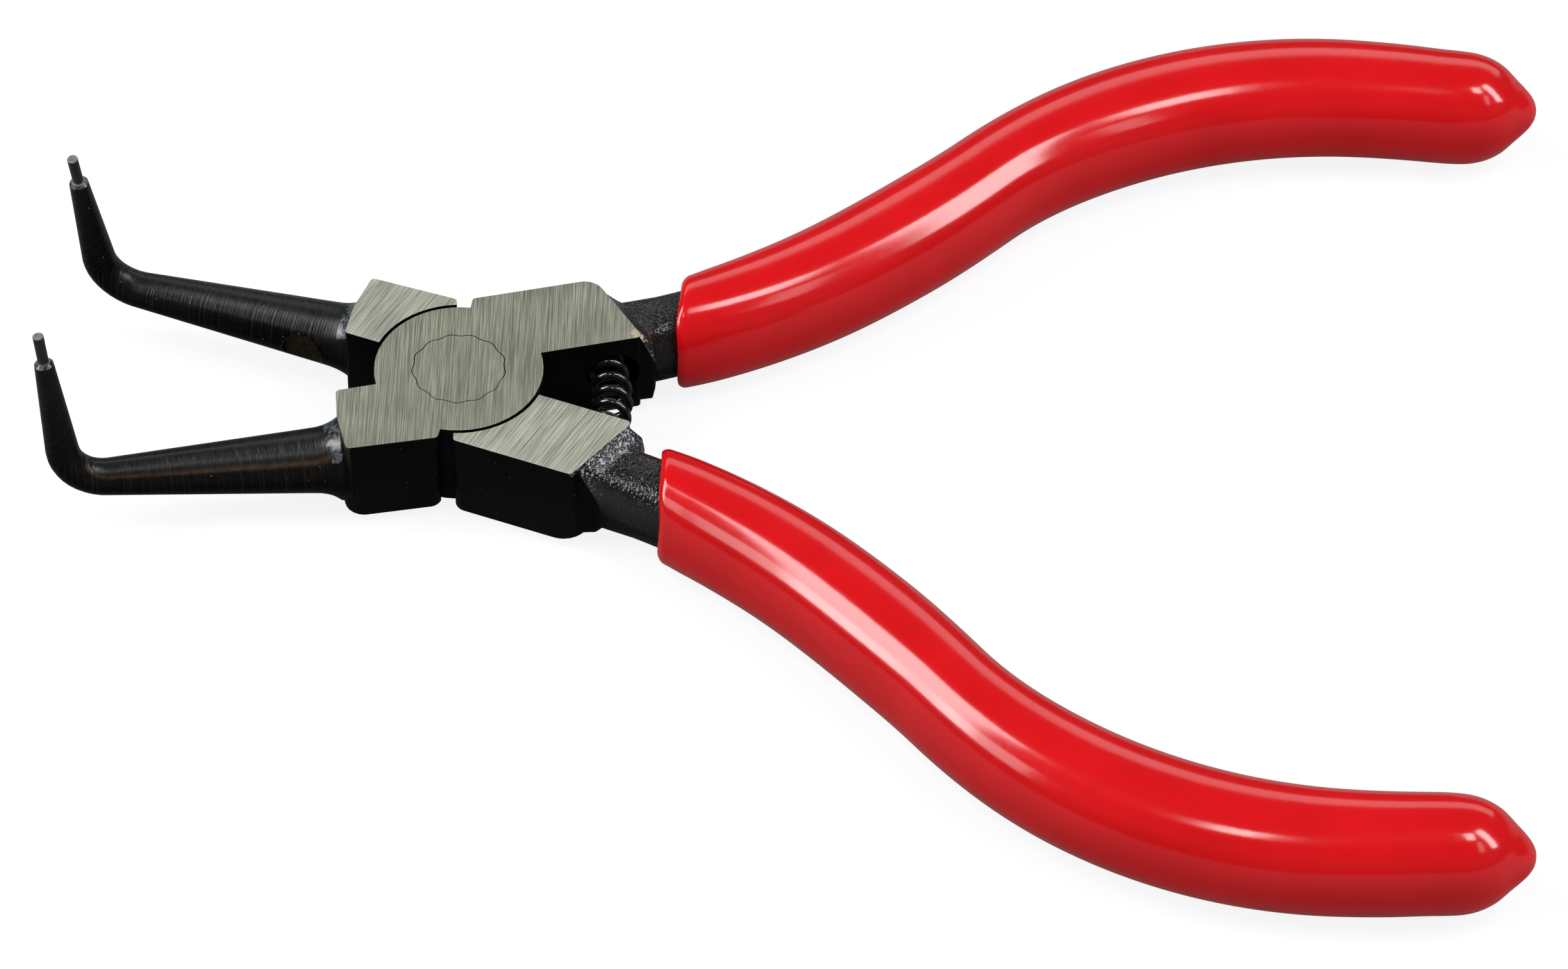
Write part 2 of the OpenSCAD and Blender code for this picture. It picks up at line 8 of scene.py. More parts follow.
# %% Load the frame
import math
import bmesh
import bpy
import numpy as np
from mathutils import Matrix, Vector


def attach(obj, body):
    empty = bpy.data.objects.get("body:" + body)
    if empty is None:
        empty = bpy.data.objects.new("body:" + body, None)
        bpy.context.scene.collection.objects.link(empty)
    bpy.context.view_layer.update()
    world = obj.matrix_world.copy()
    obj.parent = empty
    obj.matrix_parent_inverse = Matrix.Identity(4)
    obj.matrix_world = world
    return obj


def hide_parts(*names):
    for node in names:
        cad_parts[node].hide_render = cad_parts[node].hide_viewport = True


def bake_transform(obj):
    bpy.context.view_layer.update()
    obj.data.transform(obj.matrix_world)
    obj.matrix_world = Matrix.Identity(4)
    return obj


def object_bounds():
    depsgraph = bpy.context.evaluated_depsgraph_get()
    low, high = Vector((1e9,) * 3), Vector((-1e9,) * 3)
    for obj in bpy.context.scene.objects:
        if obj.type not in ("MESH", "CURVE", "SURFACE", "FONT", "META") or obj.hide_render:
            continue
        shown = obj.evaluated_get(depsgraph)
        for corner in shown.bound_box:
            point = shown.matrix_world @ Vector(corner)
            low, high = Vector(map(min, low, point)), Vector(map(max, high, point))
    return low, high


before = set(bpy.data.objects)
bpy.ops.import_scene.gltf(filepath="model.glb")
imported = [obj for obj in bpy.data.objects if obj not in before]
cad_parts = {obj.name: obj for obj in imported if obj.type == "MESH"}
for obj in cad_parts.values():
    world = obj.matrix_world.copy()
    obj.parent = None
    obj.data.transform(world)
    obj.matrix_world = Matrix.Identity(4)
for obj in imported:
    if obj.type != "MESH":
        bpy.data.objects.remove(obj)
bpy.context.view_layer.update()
scene = bpy.context.scene
scene.view_settings.view_transform = "Standard"

# %% [markdown]
# ## The camera
# The photograph was taken with a long lens, from in front and above. Its direction was
# worked out from pairs of points that mirror each other across the pliers: the two arms
# are twins, so where both are seen the view angle follows. A camera can be aimed with a
# tracking constraint, but three unit vectors (right, up, back) and a distance are exact and
# keep its roll as well. Lengths are in millimetres, unless a comment says metres.

# %% Camera
MM = 0.001
# Height of the head between its two ground faces.
HEAD_T = 8.2
PHOTO_W, PHOTO_H = 2446, 1512
# The centre of the head's upper face lies at this pixel of the photograph.
AIM_U, AIM_V = 715.58, 574.71
FOCAL_PX = 11192.4
EYE_DISTANCE = 584.45
SENSOR_W = 36.0


def stand(thing, axes, place):
    """Puts an object at a place in metres, its own X, Y and Z along the three unit vectors axes."""
    pose = np.eye(4)
    pose[:3, :3] = np.stack(axes, axis=1)
    pose[:3, 3] = place
    scene.collection.objects.link(thing)
    thing.matrix_world = Matrix(pose.tolist())


elevation, azimuth, roll = np.radians([47.56, 3.22, 1.10])
back = np.array([np.sin(azimuth) * np.cos(elevation),
                 -np.cos(azimuth) * np.cos(elevation),
                 np.sin(elevation)])
level = np.array([np.cos(azimuth), np.sin(azimuth), 0.0])
upright = np.cross(back, level)
right = np.cos(roll) * level + np.sin(roll) * upright
up = -np.sin(roll) * level + np.cos(roll) * upright
aside = (AIM_U - PHOTO_W / 2) / FOCAL_PX * EYE_DISTANCE
above = -(AIM_V - PHOTO_H / 2) / FOCAL_PX * EYE_DISTANCE
eye = np.array([0, 0, HEAD_T]) - aside * right - above * up + EYE_DISTANCE * back
camera_data = bpy.data.cameras.new("photo_camera")
camera_data.sensor_fit = "HORIZONTAL"
camera_data.sensor_width = SENSOR_W
camera_data.lens = SENSOR_W * FOCAL_PX / PHOTO_W
camera_data.clip_start = 0.05
camera_data.clip_end = 20.0
camera = bpy.data.objects.new("photo_camera", camera_data)
stand(camera, (right, up, back), eye * MM)
scene.camera = camera
print("lens", round(camera_data.lens, 1), "mm, eye", np.round(eye, 1), "mm")

# %% [markdown]
# ## Material helpers
# A finish is a small tree of nodes that could be drawn by hand in the shader editor. Written
# down, it can be read and repeated. These helpers only shorten the typing: one makes a
# material with its Principled shader, one adds a node with its inputs, and the others are
# the few nodes that every finish below is made of.

# %% Material helpers
def new_finish(name):
    """A node material and its Principled shader."""
    material = bpy.data.materials.new(name)
    material.use_nodes = True
    return material, material.node_tree.nodes["Principled BSDF"]


def set_inputs(owner, node, inputs):
    """Sets inputs of a node by name or number: a socket is linked, a plain value is stored.

    A colour of three numbers is opaque.
    """
    for key, value in inputs.items():
        socket = node.inputs[key]
        if isinstance(value, bpy.types.NodeSocket):
            owner.node_tree.links.new(value, socket)
        elif socket.type == "RGBA" and len(value) == 3:
            socket.default_value = (*value, 1)
        else:
            socket.default_value = value


def add(material, kind, inputs=None, **settings):
    """A node of that kind, with its settings and its inputs set."""
    node = material.node_tree.nodes.new(kind)
    for key, value in settings.items():
        setattr(node, key, value)
    set_inputs(material, node, inputs or {})
    return node


def piece_place(material):
    """Object coordinates: the place on the piece, in metres."""
    return add(material, "ShaderNodeTexCoord").outputs["Object"]


def stored(material, name):
    """A number that is stored on the points of the mesh under that name."""
    return add(material, "ShaderNodeAttribute", attribute_name=name).outputs["Fac"]


def arithmetic(material, operation, a, b):
    """The result of an operation on two values or sockets."""
    return add(material, "ShaderNodeMath", {0: a, 1: b}, operation=operation).outputs[0]


def ramp(material, factor, stops):
    """A colour ramp over factor; stops are (place, grey or colour)."""
    node = add(material, "ShaderNodeValToRGB", {"Fac": factor})
    band = node.color_ramp
    while len(band.elements) < len(stops):
        band.elements.new(0.5)
    for element, (place, colour) in zip(band.elements, stops):
        element.position = place
        grey = isinstance(colour, (int, float))
        element.color = (colour, colour, colour, 1) if grey else (*colour, 1)
    return node.outputs["Color"]


def grain(material, turn, cell, detail, rough):
    """Noise whose cells measure cell millimetres along axes turned by turn degrees about Z."""
    mapping = add(material, "ShaderNodeMapping", {
        "Vector": piece_place(material),
        "Rotation": (0, 0, math.radians(turn)),
        "Scale": [length * MM for length in cell]}, vector_type="TEXTURE")
    noise = add(material, "ShaderNodeTexNoise", {
        "Vector": mapping.outputs["Vector"], "Scale": 1.0, "Detail": detail, "Roughness": rough})
    return noise.outputs["Fac"]


def clouds(material, cell, detail=3.0, rough=0.6):
    """Noise with round cells of cell millimetres."""
    return grain(material, 0, (cell, cell, cell), detail, rough)


def mix(material, kind, factor, a, b):
    """A colour mix of a and b; the node has its colours at inputs 6 and 7, its result at output 2."""
    inputs = {0: factor, 6: a, 7: b}
    return add(material, "ShaderNodeMix", inputs, data_type="RGBA", blend_type=kind).outputs[2]


def relief(material, shader, height, depth, strength=1.0, before=None):
    """Bump from a height socket, depth millimetres deep, on top of an earlier bump if one is given."""
    inputs = {"Height": height, "Distance": depth * MM, "Strength": strength}
    if before is not None:
        inputs["Normal"] = before
    normal = add(material, "ShaderNodeBump", inputs).outputs["Normal"]
    set_inputs(material, shader, {"Normal": normal})
    return normal


def scaled(colour, share):
    """A colour times a number."""
    return tuple(share * value for value in colour)


# %% [markdown]
# ## Ground steel
# The flat faces of the head are ground bright after blackening. Grinding leaves straight
# scratches, all one way on an arm because each arm was ground by itself; with the pliers
# open the two directions differ. A wave texture would space them evenly, which looks drawn.
# Noise that is stretched some seventy times along one axis gives uneven scratches, and it
# drives colour, gloss and a shallow relief together.

# %% Ground steel
# The rear inner corner of the top arm was ground last and is paler than the rest.
PALE_CORNER = (14.45, 5.05, HEAD_T)
PALE_REACH = 1.7
PALE_GROUND = (0.56, 0.51, 0.38)
# Place on the noise and share of the tint there: dark in a scratch, bright between two.
SCRATCH_TONES = [(0.37, 0.21), (0.47, 0.36), (0.53, 0.45), (0.63, 0.62)]


def worn_patch(material, place):
    """Mask of a worn patch: distance from its place over its reach, with noise for a ragged edge."""
    spot = scaled(place, MM)
    away = add(material, "ShaderNodeVectorMath", {0: piece_place(material), 1: spot}, operation="DISTANCE")
    share = arithmetic(material, "DIVIDE", away.outputs["Value"], PALE_REACH * MM)
    edge = arithmetic(material, "ADD", share, clouds(material, 0.35))
    return ramp(material, edge, [(0.85, 1.0), (1.0, 0.0)])


def ground_finish(name, turn, tint, worn=None):
    """Ground steel whose scratches run at turn degrees from X.

    The mean of a fine and a broad noise picks the tone, as a share of tint; worn is the place
    of a paler patch.
    """
    material, shader = new_finish(name)
    fine = grain(material, turn, (3.4, 0.05, 3.4), 2.0, 0.6)
    broad = grain(material, turn, (7.0, 0.10, 7.0), 2.0, 0.5)
    scratches = arithmetic(material, "MULTIPLY", arithmetic(material, "ADD", fine, broad), 0.5)
    steel = ramp(material, scratches, [(place, scaled(tint, share)) for place, share in SCRATCH_TONES])
    if worn is not None:
        steel = mix(material, "MIX", worn_patch(material, worn), steel, PALE_GROUND)
    tone = ramp(material, clouds(material, 4), [(0.30, 0.86), (0.70, 1.0)])
    set_inputs(material, shader, {
        "Base Color": mix(material, "MULTIPLY", 1.0, steel, tone),
        "Metallic": 0.75,
        "Roughness": ramp(material, scratches, [(0.3, 0.55), (0.7, 0.38)])})
    relief(material, shader, scratches, 0.03, 0.5)
    return material


# The under arm's tint is brighter than the top arm's by a painted highlight: it stands in for the light
# that its scratches spread from the right soft box.
ground_top = ground_finish("ground_steel_top", 93, (0.76, 0.77, 0.61), PALE_CORNER)
ground_under = ground_finish("ground_steel_under", 64, (1.10, 1.13, 0.94))
print("ground finishes:", ground_top.name, ground_under.name)

# %% [markdown]
# ## Milled and turned black steel
# Everything else on the arms is blackened: a thin dark oxide over steel that is milled smooth
# on the flanks and turned on the jaws. One black for both would look like paint, so each has
# its own relief and gloss. The rings of turning run round the jaw, and no axis of the piece
# follows the jaw, so the mesh carries the length along it as a number on its points. A second
# number, the upward part of the normal, lowers the gloss of the lower sides and picks painted
# light for the colour: painted shade below, a painted highlight streak on the upper front side
# and a painted cool sheen on top.

# %% Milled and turned finishes
def specks(material, per_metre, share):
    """Fine pale dust: one small dot in a share of the cells of a Voronoi pattern."""
    cells = add(material, "ShaderNodeTexVoronoi", {"Vector": piece_place(material), "Scale": per_metre})
    near = ramp(material, cells.outputs["Distance"], [(0.07, 1.0), (0.15, 0.0)])
    chosen = add(material, "ShaderNodeSeparateColor", {"Color": cells.outputs["Color"]}).outputs[0]
    few = arithmetic(material, "LESS_THAN", chosen, share)
    return arithmetic(material, "MULTIPLY", near, few)


def flank_finish():
    """Milled flank: very dark and smooth, with a little dust."""
    material, shader = new_finish("black_flank")
    cloud = clouds(material, 1.1, 4.0)
    dark = ramp(material, cloud, [(0.3, (0.001, 0.001, 0.0011)), (0.75, (0.002, 0.002, 0.0022))])
    set_inputs(material, shader, {
        "Base Color": mix(material, "MIX", specks(material, 2600, 0.05), dark, (0.10, 0.11, 0.12)),
        "Roughness": ramp(material, cloud, [(0.3, 0.40), (0.7, 0.52)]),
        "Specular IOR Level": 0.05})
    relief(material, shader, cloud, 0.01, 0.4)
    return material


def turned_finish(name, streak):
    """Turned jaw: rings across the jaw, read from the number along, spread the light lengthwise.

    The number facing is the upward part of the normal; streak is the colour of a painted
    highlight on the upper front side.
    """
    material, shader = new_finish(name)
    lathe = {"W": stored(material, "along"), "Scale": 5200.0, "Detail": 3.0}
    rings = add(material, "ShaderNodeTexNoise", lathe, noise_dimensions="1D").outputs["Fac"]
    cloud = clouds(material, 0.6, 4.0, 0.65)
    facing = stored(material, "facing")
    # Painted light, picked by the upward part of the normal: painted shade on the lower sides, a painted
    # highlight streak on the upper front side and a painted cool sheen on top.
    dark = ramp(material, facing, [
        (0.2, (0.002, 0.0018, 0.0016)), (0.58, (0.006, 0.005, 0.004)), (0.68, streak),
        (0.78, (0.007, 0.0065, 0.006)), (1.0, (0.008, 0.009, 0.010))])
    dark = mix(material, "MULTIPLY", 1.0, dark, ramp(material, cloud, [(0.3, 0.5), (0.7, 1.0)]))
    crests = ramp(material, rings, [(0.55, 0.0), (0.75, 0.5)])
    ringed = mix(material, "MIX", crests, dark, (0.018, 0.017, 0.017))
    # The gloss falls towards the lower sides, by the same number.
    set_inputs(material, shader, {
        "Base Color": mix(material, "MIX", specks(material, 2300, 0.10), ringed, (0.14, 0.15, 0.17)),
        "Roughness": ramp(material, cloud, [(0.3, 0.26), (0.7, 0.38)]),
        "Specular IOR Level": ramp(material, facing, [(0.0, 0.03), (0.45, 0.16), (0.8, 0.30)])})
    first = relief(material, shader, rings, 0.04)
    relief(material, shader, cloud, 0.02, 0.5, first)
    return material


black_flank = flank_finish()
# The last argument is the colour of the painted highlight streak on each jaw: warm on the top arm, grey on
# the under arm.
turned_top = turned_finish("black_turned_top", (0.042, 0.027, 0.017))
turned_under = turned_finish("black_turned_under", (0.011, 0.0105, 0.010))
print("milled and turned finishes:", black_flank.name, turned_top.name, turned_under.name)

# %% [markdown]
# ## Forged black steel
# The necks between head and grips keep the pebbled skin of the forge under the black. It
# could be modelled as real bumps, but they are a tenth of a millimetre high, so a relief in
# the material is enough. The pale pebble tops are painted glints. Right behind the ground face
# the skin slopes down, and a brighter band of painted glints lies there, wider on one arm than
# on the other. Lower down the colour darkens as painted shade.

# %% Forged finish
# Length of the band of painted glints on the slope behind the ground face of each arm.
SLOPE_TOP, SLOPE_UNDER = 0.3, 1.0
PALE_FORGED = (0.40, 0.36, 0.27)


def forged_finish(name, slope_len, worn=None):
    """Forged skin: a coarse pebbled relief that breaks the light into short glints.

    The number behind is the distance behind the ground face. The slope there, slope_len long,
    gets painted glints on its pebble tops: slope mask times pebble mask times height mask.
    The pale pebble tops elsewhere are painted glints too, and lower down the colour darkens as
    painted shade.
    """
    material, shader = new_finish(name)
    pebbles = grain(material, 20, (0.22, 0.30, 0.22), 1.5, 0.5)
    broad = clouds(material, 2, 2.0, 0.5)
    dark = ramp(material, broad, [(0.3, (0.002, 0.002, 0.0022)), (0.7, (0.005, 0.005, 0.0054))])
    # Painted glints: the pebble tops are paler in colour.
    tops = ramp(material, pebbles, [(0.56, 0.0), (0.74, 0.07)])
    dark = mix(material, "MIX", tops, dark, (0.16, 0.17, 0.18))
    # A band of painted glints on the pebble tops of the slope behind the ground face, fading lower down.
    depth = arithmetic(material, "DIVIDE", stored(material, "behind"), slope_len * MM)
    slope = ramp(material, depth, [(0.0, 0.3), (0.15, 1.0), (0.6, 0.9), (1.0, 0.0)])
    z = add(material, "ShaderNodeSeparateXYZ", {"Vector": piece_place(material)}).outputs["Z"]
    height = arithmetic(material, "DIVIDE", z, HEAD_T * MM)
    glinting_pebbles = mix(material, "MULTIPLY", 1.0,
                 ramp(material, pebbles, [(0.53, 0.0), (0.65, 1.0)]),
                 ramp(material, height, [(0.55, 0.0), (0.8, 1.0)]))
    glint = arithmetic(material, "MULTIPLY", slope, glinting_pebbles)
    # Painted shade: the colour darkens lower down.
    dark = mix(material, "MULTIPLY", 1.0, dark, ramp(material, height, [(0.35, 0.5), (0.7, 1.0)]))
    dark = mix(material, "MIX", glint, dark, (0.31, 0.35, 0.39))
    if worn is not None:
        dark = mix(material, "MIX", worn_patch(material, worn), dark, PALE_FORGED)
    # The gloss falls towards the lower parts of the neck.
    set_inputs(material, shader, {
        "Base Color": dark,
        "Roughness": ramp(material, pebbles, [(0.35, 0.28), (0.65, 0.14)]),
        "Specular IOR Level": ramp(material, height, [(0.35, 0.04), (0.7, 0.6)])})
    relief(material, shader, pebbles, 0.12)
    return material


forged_top = forged_finish("black_forged_top", SLOPE_TOP, PALE_CORNER)
forged_under = forged_finish("black_forged_under", SLOPE_UNDER)
print("forged finishes:", forged_top.name, forged_under.name)

# %% [markdown]
# ## Small places
# Four small places differ from the rest: the bright worn rims of the ground faces, the glossy
# roundings that no tool mark reaches, whose bluish patches are painted glints, and the flat
# spot on one jaw, whose rim and floor are stained olive where the black skin is thin. Masks
# inside one large material could paint them, but a finish of their own on a few faces stays
# crisp and is easy to change.

# %% Small finishes
def edge_finish():
    """Bright worn rim of a ground face."""
    material, shader = new_finish("bright_edge")
    steel = [(0.3, (0.42, 0.40, 0.35)), (0.65, (0.80, 0.78, 0.70))]
    set_inputs(material, shader, {
        "Base Color": ramp(material, clouds(material, 0.5), steel), "Metallic": 0.7, "Roughness": 0.4})
    return material


def polished_finish():
    """Glossy black of the small rounded places, with bluish painted glints in its colour."""
    material, shader = new_finish("black_polished_glint")
    cloud = clouds(material, 0.3)
    # The pale bluish patches of the colour are painted glints.
    set_inputs(material, shader, {
        "Base Color": ramp(material, cloud, [(0.4, (0.005, 0.0055, 0.006)), (0.65, (0.10, 0.115, 0.13))]),
        "Roughness": ramp(material, cloud, [(0.3, 0.22), (0.7, 0.34)]),
        "Specular IOR Level": 0.6})
    relief(material, shader, cloud, 0.03, 0.6)
    return material


def spot_finish(name, tint):
    """Olive stain of the flat spot, from a quarter of tint at the darkest to all of it."""
    material, shader = new_finish(name)
    cloud = clouds(material, 0.4)
    set_inputs(material, shader, {
        "Base Color": ramp(material, cloud, [(0.35, scaled(tint, 0.25)), (0.65, tint)]),
        "Roughness": 0.45,
        "Specular IOR Level": 0.06})
    relief(material, shader, cloud, 0.01, 0.5)
    return material


bright_edge = edge_finish()
black_polished_glint = polished_finish()
olive_rim = spot_finish("olive_rim", (0.34, 0.31, 0.13))
olive_flat = spot_finish("olive_flat", (0.016, 0.013, 0.004))
print("small finishes:", bright_edge.name, black_polished_glint.name, olive_rim.name, olive_flat.name)

# %% [markdown]
# ## Axes of an arm
# The two arms are one design, drawn shut. The top arm is that drawing turned open about the
# rivet, and the under arm is its mirror image turned the other way. Places on an arm are
# easiest to name in the drawing's own axes, so two helpers go from the open pose to the shut
# drawing and back. An empty as a parent could do this too, but plain arithmetic works on all
# points of a mesh at once.

# %% Arm axes
# Turn of each arm from shut to the open rest pose, in degrees.
OPEN_HALF = 17.0


def shut_frame(points, side):
    """Points turned back to the shut arm's axes, jaw at -X and handle at +X and +Y; side -1 mirrors y."""
    turn = math.radians(-OPEN_HALF * side)
    x = points[:, 0] * math.cos(turn) - points[:, 1] * math.sin(turn)
    y = points[:, 0] * math.sin(turn) + points[:, 1] * math.cos(turn)
    return np.stack([x, y * side, points[:, 2]], axis=1)


def open_pose(points, side):
    """Points of a shut arm turned about Z to the open rest pose; side -1 is the mirrored arm."""
    turn = math.radians(OPEN_HALF * side)
    x = points[..., 0]
    y = points[..., 1] * side
    return np.stack([x * math.cos(turn) - y * math.sin(turn),
                     x * math.sin(turn) + y * math.cos(turn),
                     points[..., 2]], -1)


# %% [markdown]
# ## The worn corner
# On the top arm the outer rear corner of the handle shoulder was rounded more in grinding. A
# new bevel can't be laid over the old round, so the points themselves move: those of the old
# arc go to the same direction on a wider one, and those that would stick out stop at it.

# %% Worn corner
# The corner and the directions of its two sides, in the shut arm's axes.
CORNER = np.array([12.9, 7.5])
CORNER_SIDES = np.array([[-1.0, 0.0], [0.328, -0.9447]])
# Its radius at the lower and the upper face, as drawn and as worn.
CORNER_R = (2.2, 0.35)
CORNER_WORN_R = (2.2, 1.7)
# A point this near to the old arc belongs to it.
ON_ARC = 0.02
# A point up to this far outside the new arc is drawn in to it.
DRAW_IN = 1.2
# Slack in the cosine of the arc's half span.
SPAN_SLACK = 0.01


def widen_corner(points):
    """Points of a shut arm with that corner rounded more.

    The arc's centre lies on the bisector, at radius over the sine of half the angle, and a point
    of the arc is the centre plus its direction times the radius.
    """
    share = points[:, 2:] / HEAD_T
    bisector = CORNER_SIDES.sum(axis=0) / np.linalg.norm(CORNER_SIDES.sum(axis=0))
    sine = math.sin(math.acos(CORNER_SIDES[0] @ CORNER_SIDES[1]) / 2)
    old = CORNER_R[0] + (CORNER_R[1] - CORNER_R[0]) * share
    new = CORNER_WORN_R[0] + (CORNER_WORN_R[1] - CORNER_WORN_R[0]) * share
    moved = points.copy()
    for radius, far in ((new, DRAW_IN), (old, ON_ARC)):
        away = points[:, :2] - CORNER - bisector * radius / sine
        length = np.linalg.norm(away, axis=1, keepdims=True)
        way = away / length
        beyond = (way @ -bisector > sine - SPAN_SLACK) & (np.abs(length - radius)[:, 0] < far)
        beyond &= length[:, 0] > radius[:, 0] - ON_ARC
        moved[beyond, :2] = (CORNER + bisector * new / sine + way * new)[beyond]
    return moved


# %% [markdown]
# ## Bevelled rims
# A real edge is never perfectly sharp, and its thin bright line is what the eye reads as
# metal. A bevel modifier picks its edges by angle alone. Here only the rims of the head and
# of the flat spot are wanted, so the edges are picked by angle and place.

# %% Bevelled rims
# Order of the finishes on an arm.
FLANK, GROUND, TURNED, FORGED, EDGE, POLISHED, SPOT_RIM, SPOT_FLAT = range(8)
RIM_WIDTH, RIM_ANGLE = 0.12, 40
SPOT_RIM_WIDTH, SPOT_RIM_ANGLE = 0.14, 20
# Rims nearer to the rivet's axis than this belong to its seam and stay sharp.
SEAM_REACH = 5.0
# Rims farther out than these belong to a jaw or a tang and stay as they are.
JAW_RIMS_FROM, TANG_RIMS_FROM = 11.5, 17.0
# Middle of the flat spot on the under arm's jaw, in the shut arm's axes, its radius and a margin.
SPOT_AT = np.array([-14.55, -1.25, 3.45])
SPOT_R, SPOT_MARGIN = 1.75, 0.3


def sharp_edges(work, angle):
    """Outward edges that turn by more than angle degrees, each with its middle."""
    found = []
    for edge in work.edges:
        if len(edge.link_faces) == 2 and edge.is_convex and edge.calc_face_angle() > math.radians(angle):
            found.append((edge, np.array((edge.verts[0].co + edge.verts[1].co) / MM / 2)))
    return found


def bevel_rims(work):
    """Bevels the outer edges of the head: rims of its flat faces, upright corners, pocket mouths."""
    rims = []
    for edge, middle in sharp_edges(work, RIM_ANGLE):
        from_axis = math.hypot(middle[0], middle[1])
        on_jaw = from_axis > JAW_RIMS_FROM and middle[0] < 0
        on_tang = middle[0] > TANG_RIMS_FROM
        if not (from_axis < SEAM_REACH or on_jaw or on_tang):
            rims.append(edge)
    bmesh.ops.bevel(work, geom=rims, offset=RIM_WIDTH * MM, segments=2, profile=0.5,
                    affect="EDGES", clamp_overlap=True)
    return len(rims)


def bevel_spot(work, side):
    """Bevels the rim of the flat spot and gives the narrow new faces their own finish."""
    centre = open_pose(SPOT_AT, side)
    rims = [edge for edge, middle in sharp_edges(work, SPOT_RIM_ANGLE)
            if np.linalg.norm(middle - centre) < SPOT_R + SPOT_MARGIN]
    bmesh.ops.bevel(work, geom=rims, offset=SPOT_RIM_WIDTH * MM, segments=1, profile=0.5,
                    affect="EDGES", clamp_overlap=True, material=SPOT_RIM)
    return len(rims)


# %% [markdown]
# ## The finish of each face
# Where a finish begins follows from how the arm was made: the wheel left the flat faces, the
# lathe the jaws, the mill the flanks and the forge the necks. So each face takes its finish
# from its place and direction, with whole-array tests. Painting by hand would do once, but
# these tests still hold when the CAD changes a little.

# %% Finish of each face
# Plane that parts the milled flank from the forged skin behind it, in the shut arm's axes:
# it passes through the rear edge of the ground face and leans back below it.
FORGED_LEAN = np.array([1.0, 0.347, 0.36])
FORGED_FROM = 18.26
# No skin in front of this distance is forged.
FORGED_BEHIND_X = 10
# The jaw is turned in front of this distance, and its shoulder's front face is at the next one.
TURNED_FROM = 10.15
JAW_FRONT = 10.7
# Centre of the flare at the jaw's root across the jaw, and its half width and half height.
FLARE_Y, FLARE_Z = -3.75, 3.82
FLARE_REACH = (3.0, 3.8)
# The fillet at the jaw's root is glossy, with painted glints, over this length and above this height.
FILLET_LEN, FILLET_FROM = 1.0, 5.7
# The chamfer at the leg's end is glossy, with painted glints, above this height.
COLLAR_FROM = 16.64
# Upward part of a normal: a flat face has more than the first, a leaning rim more than the second.
FLAT_UP, RIM_UP = 0.99, 0.15
# A rim reaches this far from its ground face.
RIM_DEPTH = 0.13
# Tolerances: on a ground face, past an edge, and on the floor of the flat spot.
ON_GROUND, PAST_EDGE, ON_SPOT = 0.005, 0.02, 0.05


def vectors_of(items, name):
    """One vector property of all faces or points of a mesh, as rows."""
    values = np.empty(len(items) * 3)
    items.foreach_get(name, values)
    return values.reshape(-1, 3)


def face_finishes(mesh, side):
    """Number of the finish of each face, from its centre in the shut arm's axes and its normal."""
    centre = shut_frame(vectors_of(mesh.polygons, "center") / MM, side)
    upward = np.abs(vectors_of(mesh.polygons, "normal")[:, 2])
    finish = np.zeros(len(mesh.polygons), dtype=np.int32)
    mesh.polygons.foreach_get("material_index", finish)
    on_spot_rim = finish == SPOT_RIM
    x, y, z = centre.T
    finish[x < -TURNED_FROM] = TURNED
    off_axis = np.hypot((y - FLARE_Y) / FLARE_REACH[0], (z - FLARE_Z) / FLARE_REACH[1])
    fillet = (x < -JAW_FRONT - PAST_EDGE) & (x > -JAW_FRONT - FILLET_LEN) & (off_axis < 1)
    finish[fillet & (z > FILLET_FROM) | (z > COLLAR_FROM)] = POLISHED
    finish[(centre @ FORGED_LEAN > FORGED_FROM) & (y > 0) & (x > FORGED_BEHIND_X)] = FORGED
    from_ground = np.minimum(HEAD_T - z, z)
    finish[(from_ground < ON_GROUND) & (upward > FLAT_UP)] = GROUND
    leaning = (upward > RIM_UP) & (upward < FLAT_UP)
    finish[(from_ground < RIM_DEPTH) & leaning & (finish == FLANK)] = EDGE
    finish[on_spot_rim] = SPOT_RIM
    if side < 0:
        from_spot = np.hypot(x - SPOT_AT[0], z - SPOT_AT[2])
        on_floor = (from_spot < SPOT_R - PAST_EDGE) & (np.abs(y - SPOT_AT[1]) < ON_SPOT)
        finish[on_floor & ~on_spot_rim] = SPOT_FLAT
    return finish


# %% [markdown]
# ## The arms
# The arms have pockets, a lap and a rivet seat that only solid modelling cuts well, so each
# dressed arm starts as a copy of its CAD mesh instead of a new surface. The copy's loose
# triangles are merged, flat areas are joined into single faces, the rims are bevelled, and
# the faces are cut where the forged skin begins, so that the finish has a clean border.

# %% Arms
# Points this near are one, and points this near to a cut lie on it, in metres.
MERGE_DIST, CUT_DIST = 1e-6, 1e-7
# Faces that turn by less than the first angle are one flat face; past the second an edge is sharp.
FLAT_ANGLE, SHARP_ANGLE = 0.4, 28
# Above this height the leg stands upright, and length along the jaw is counted upward.
LEG_FROM = 7.0


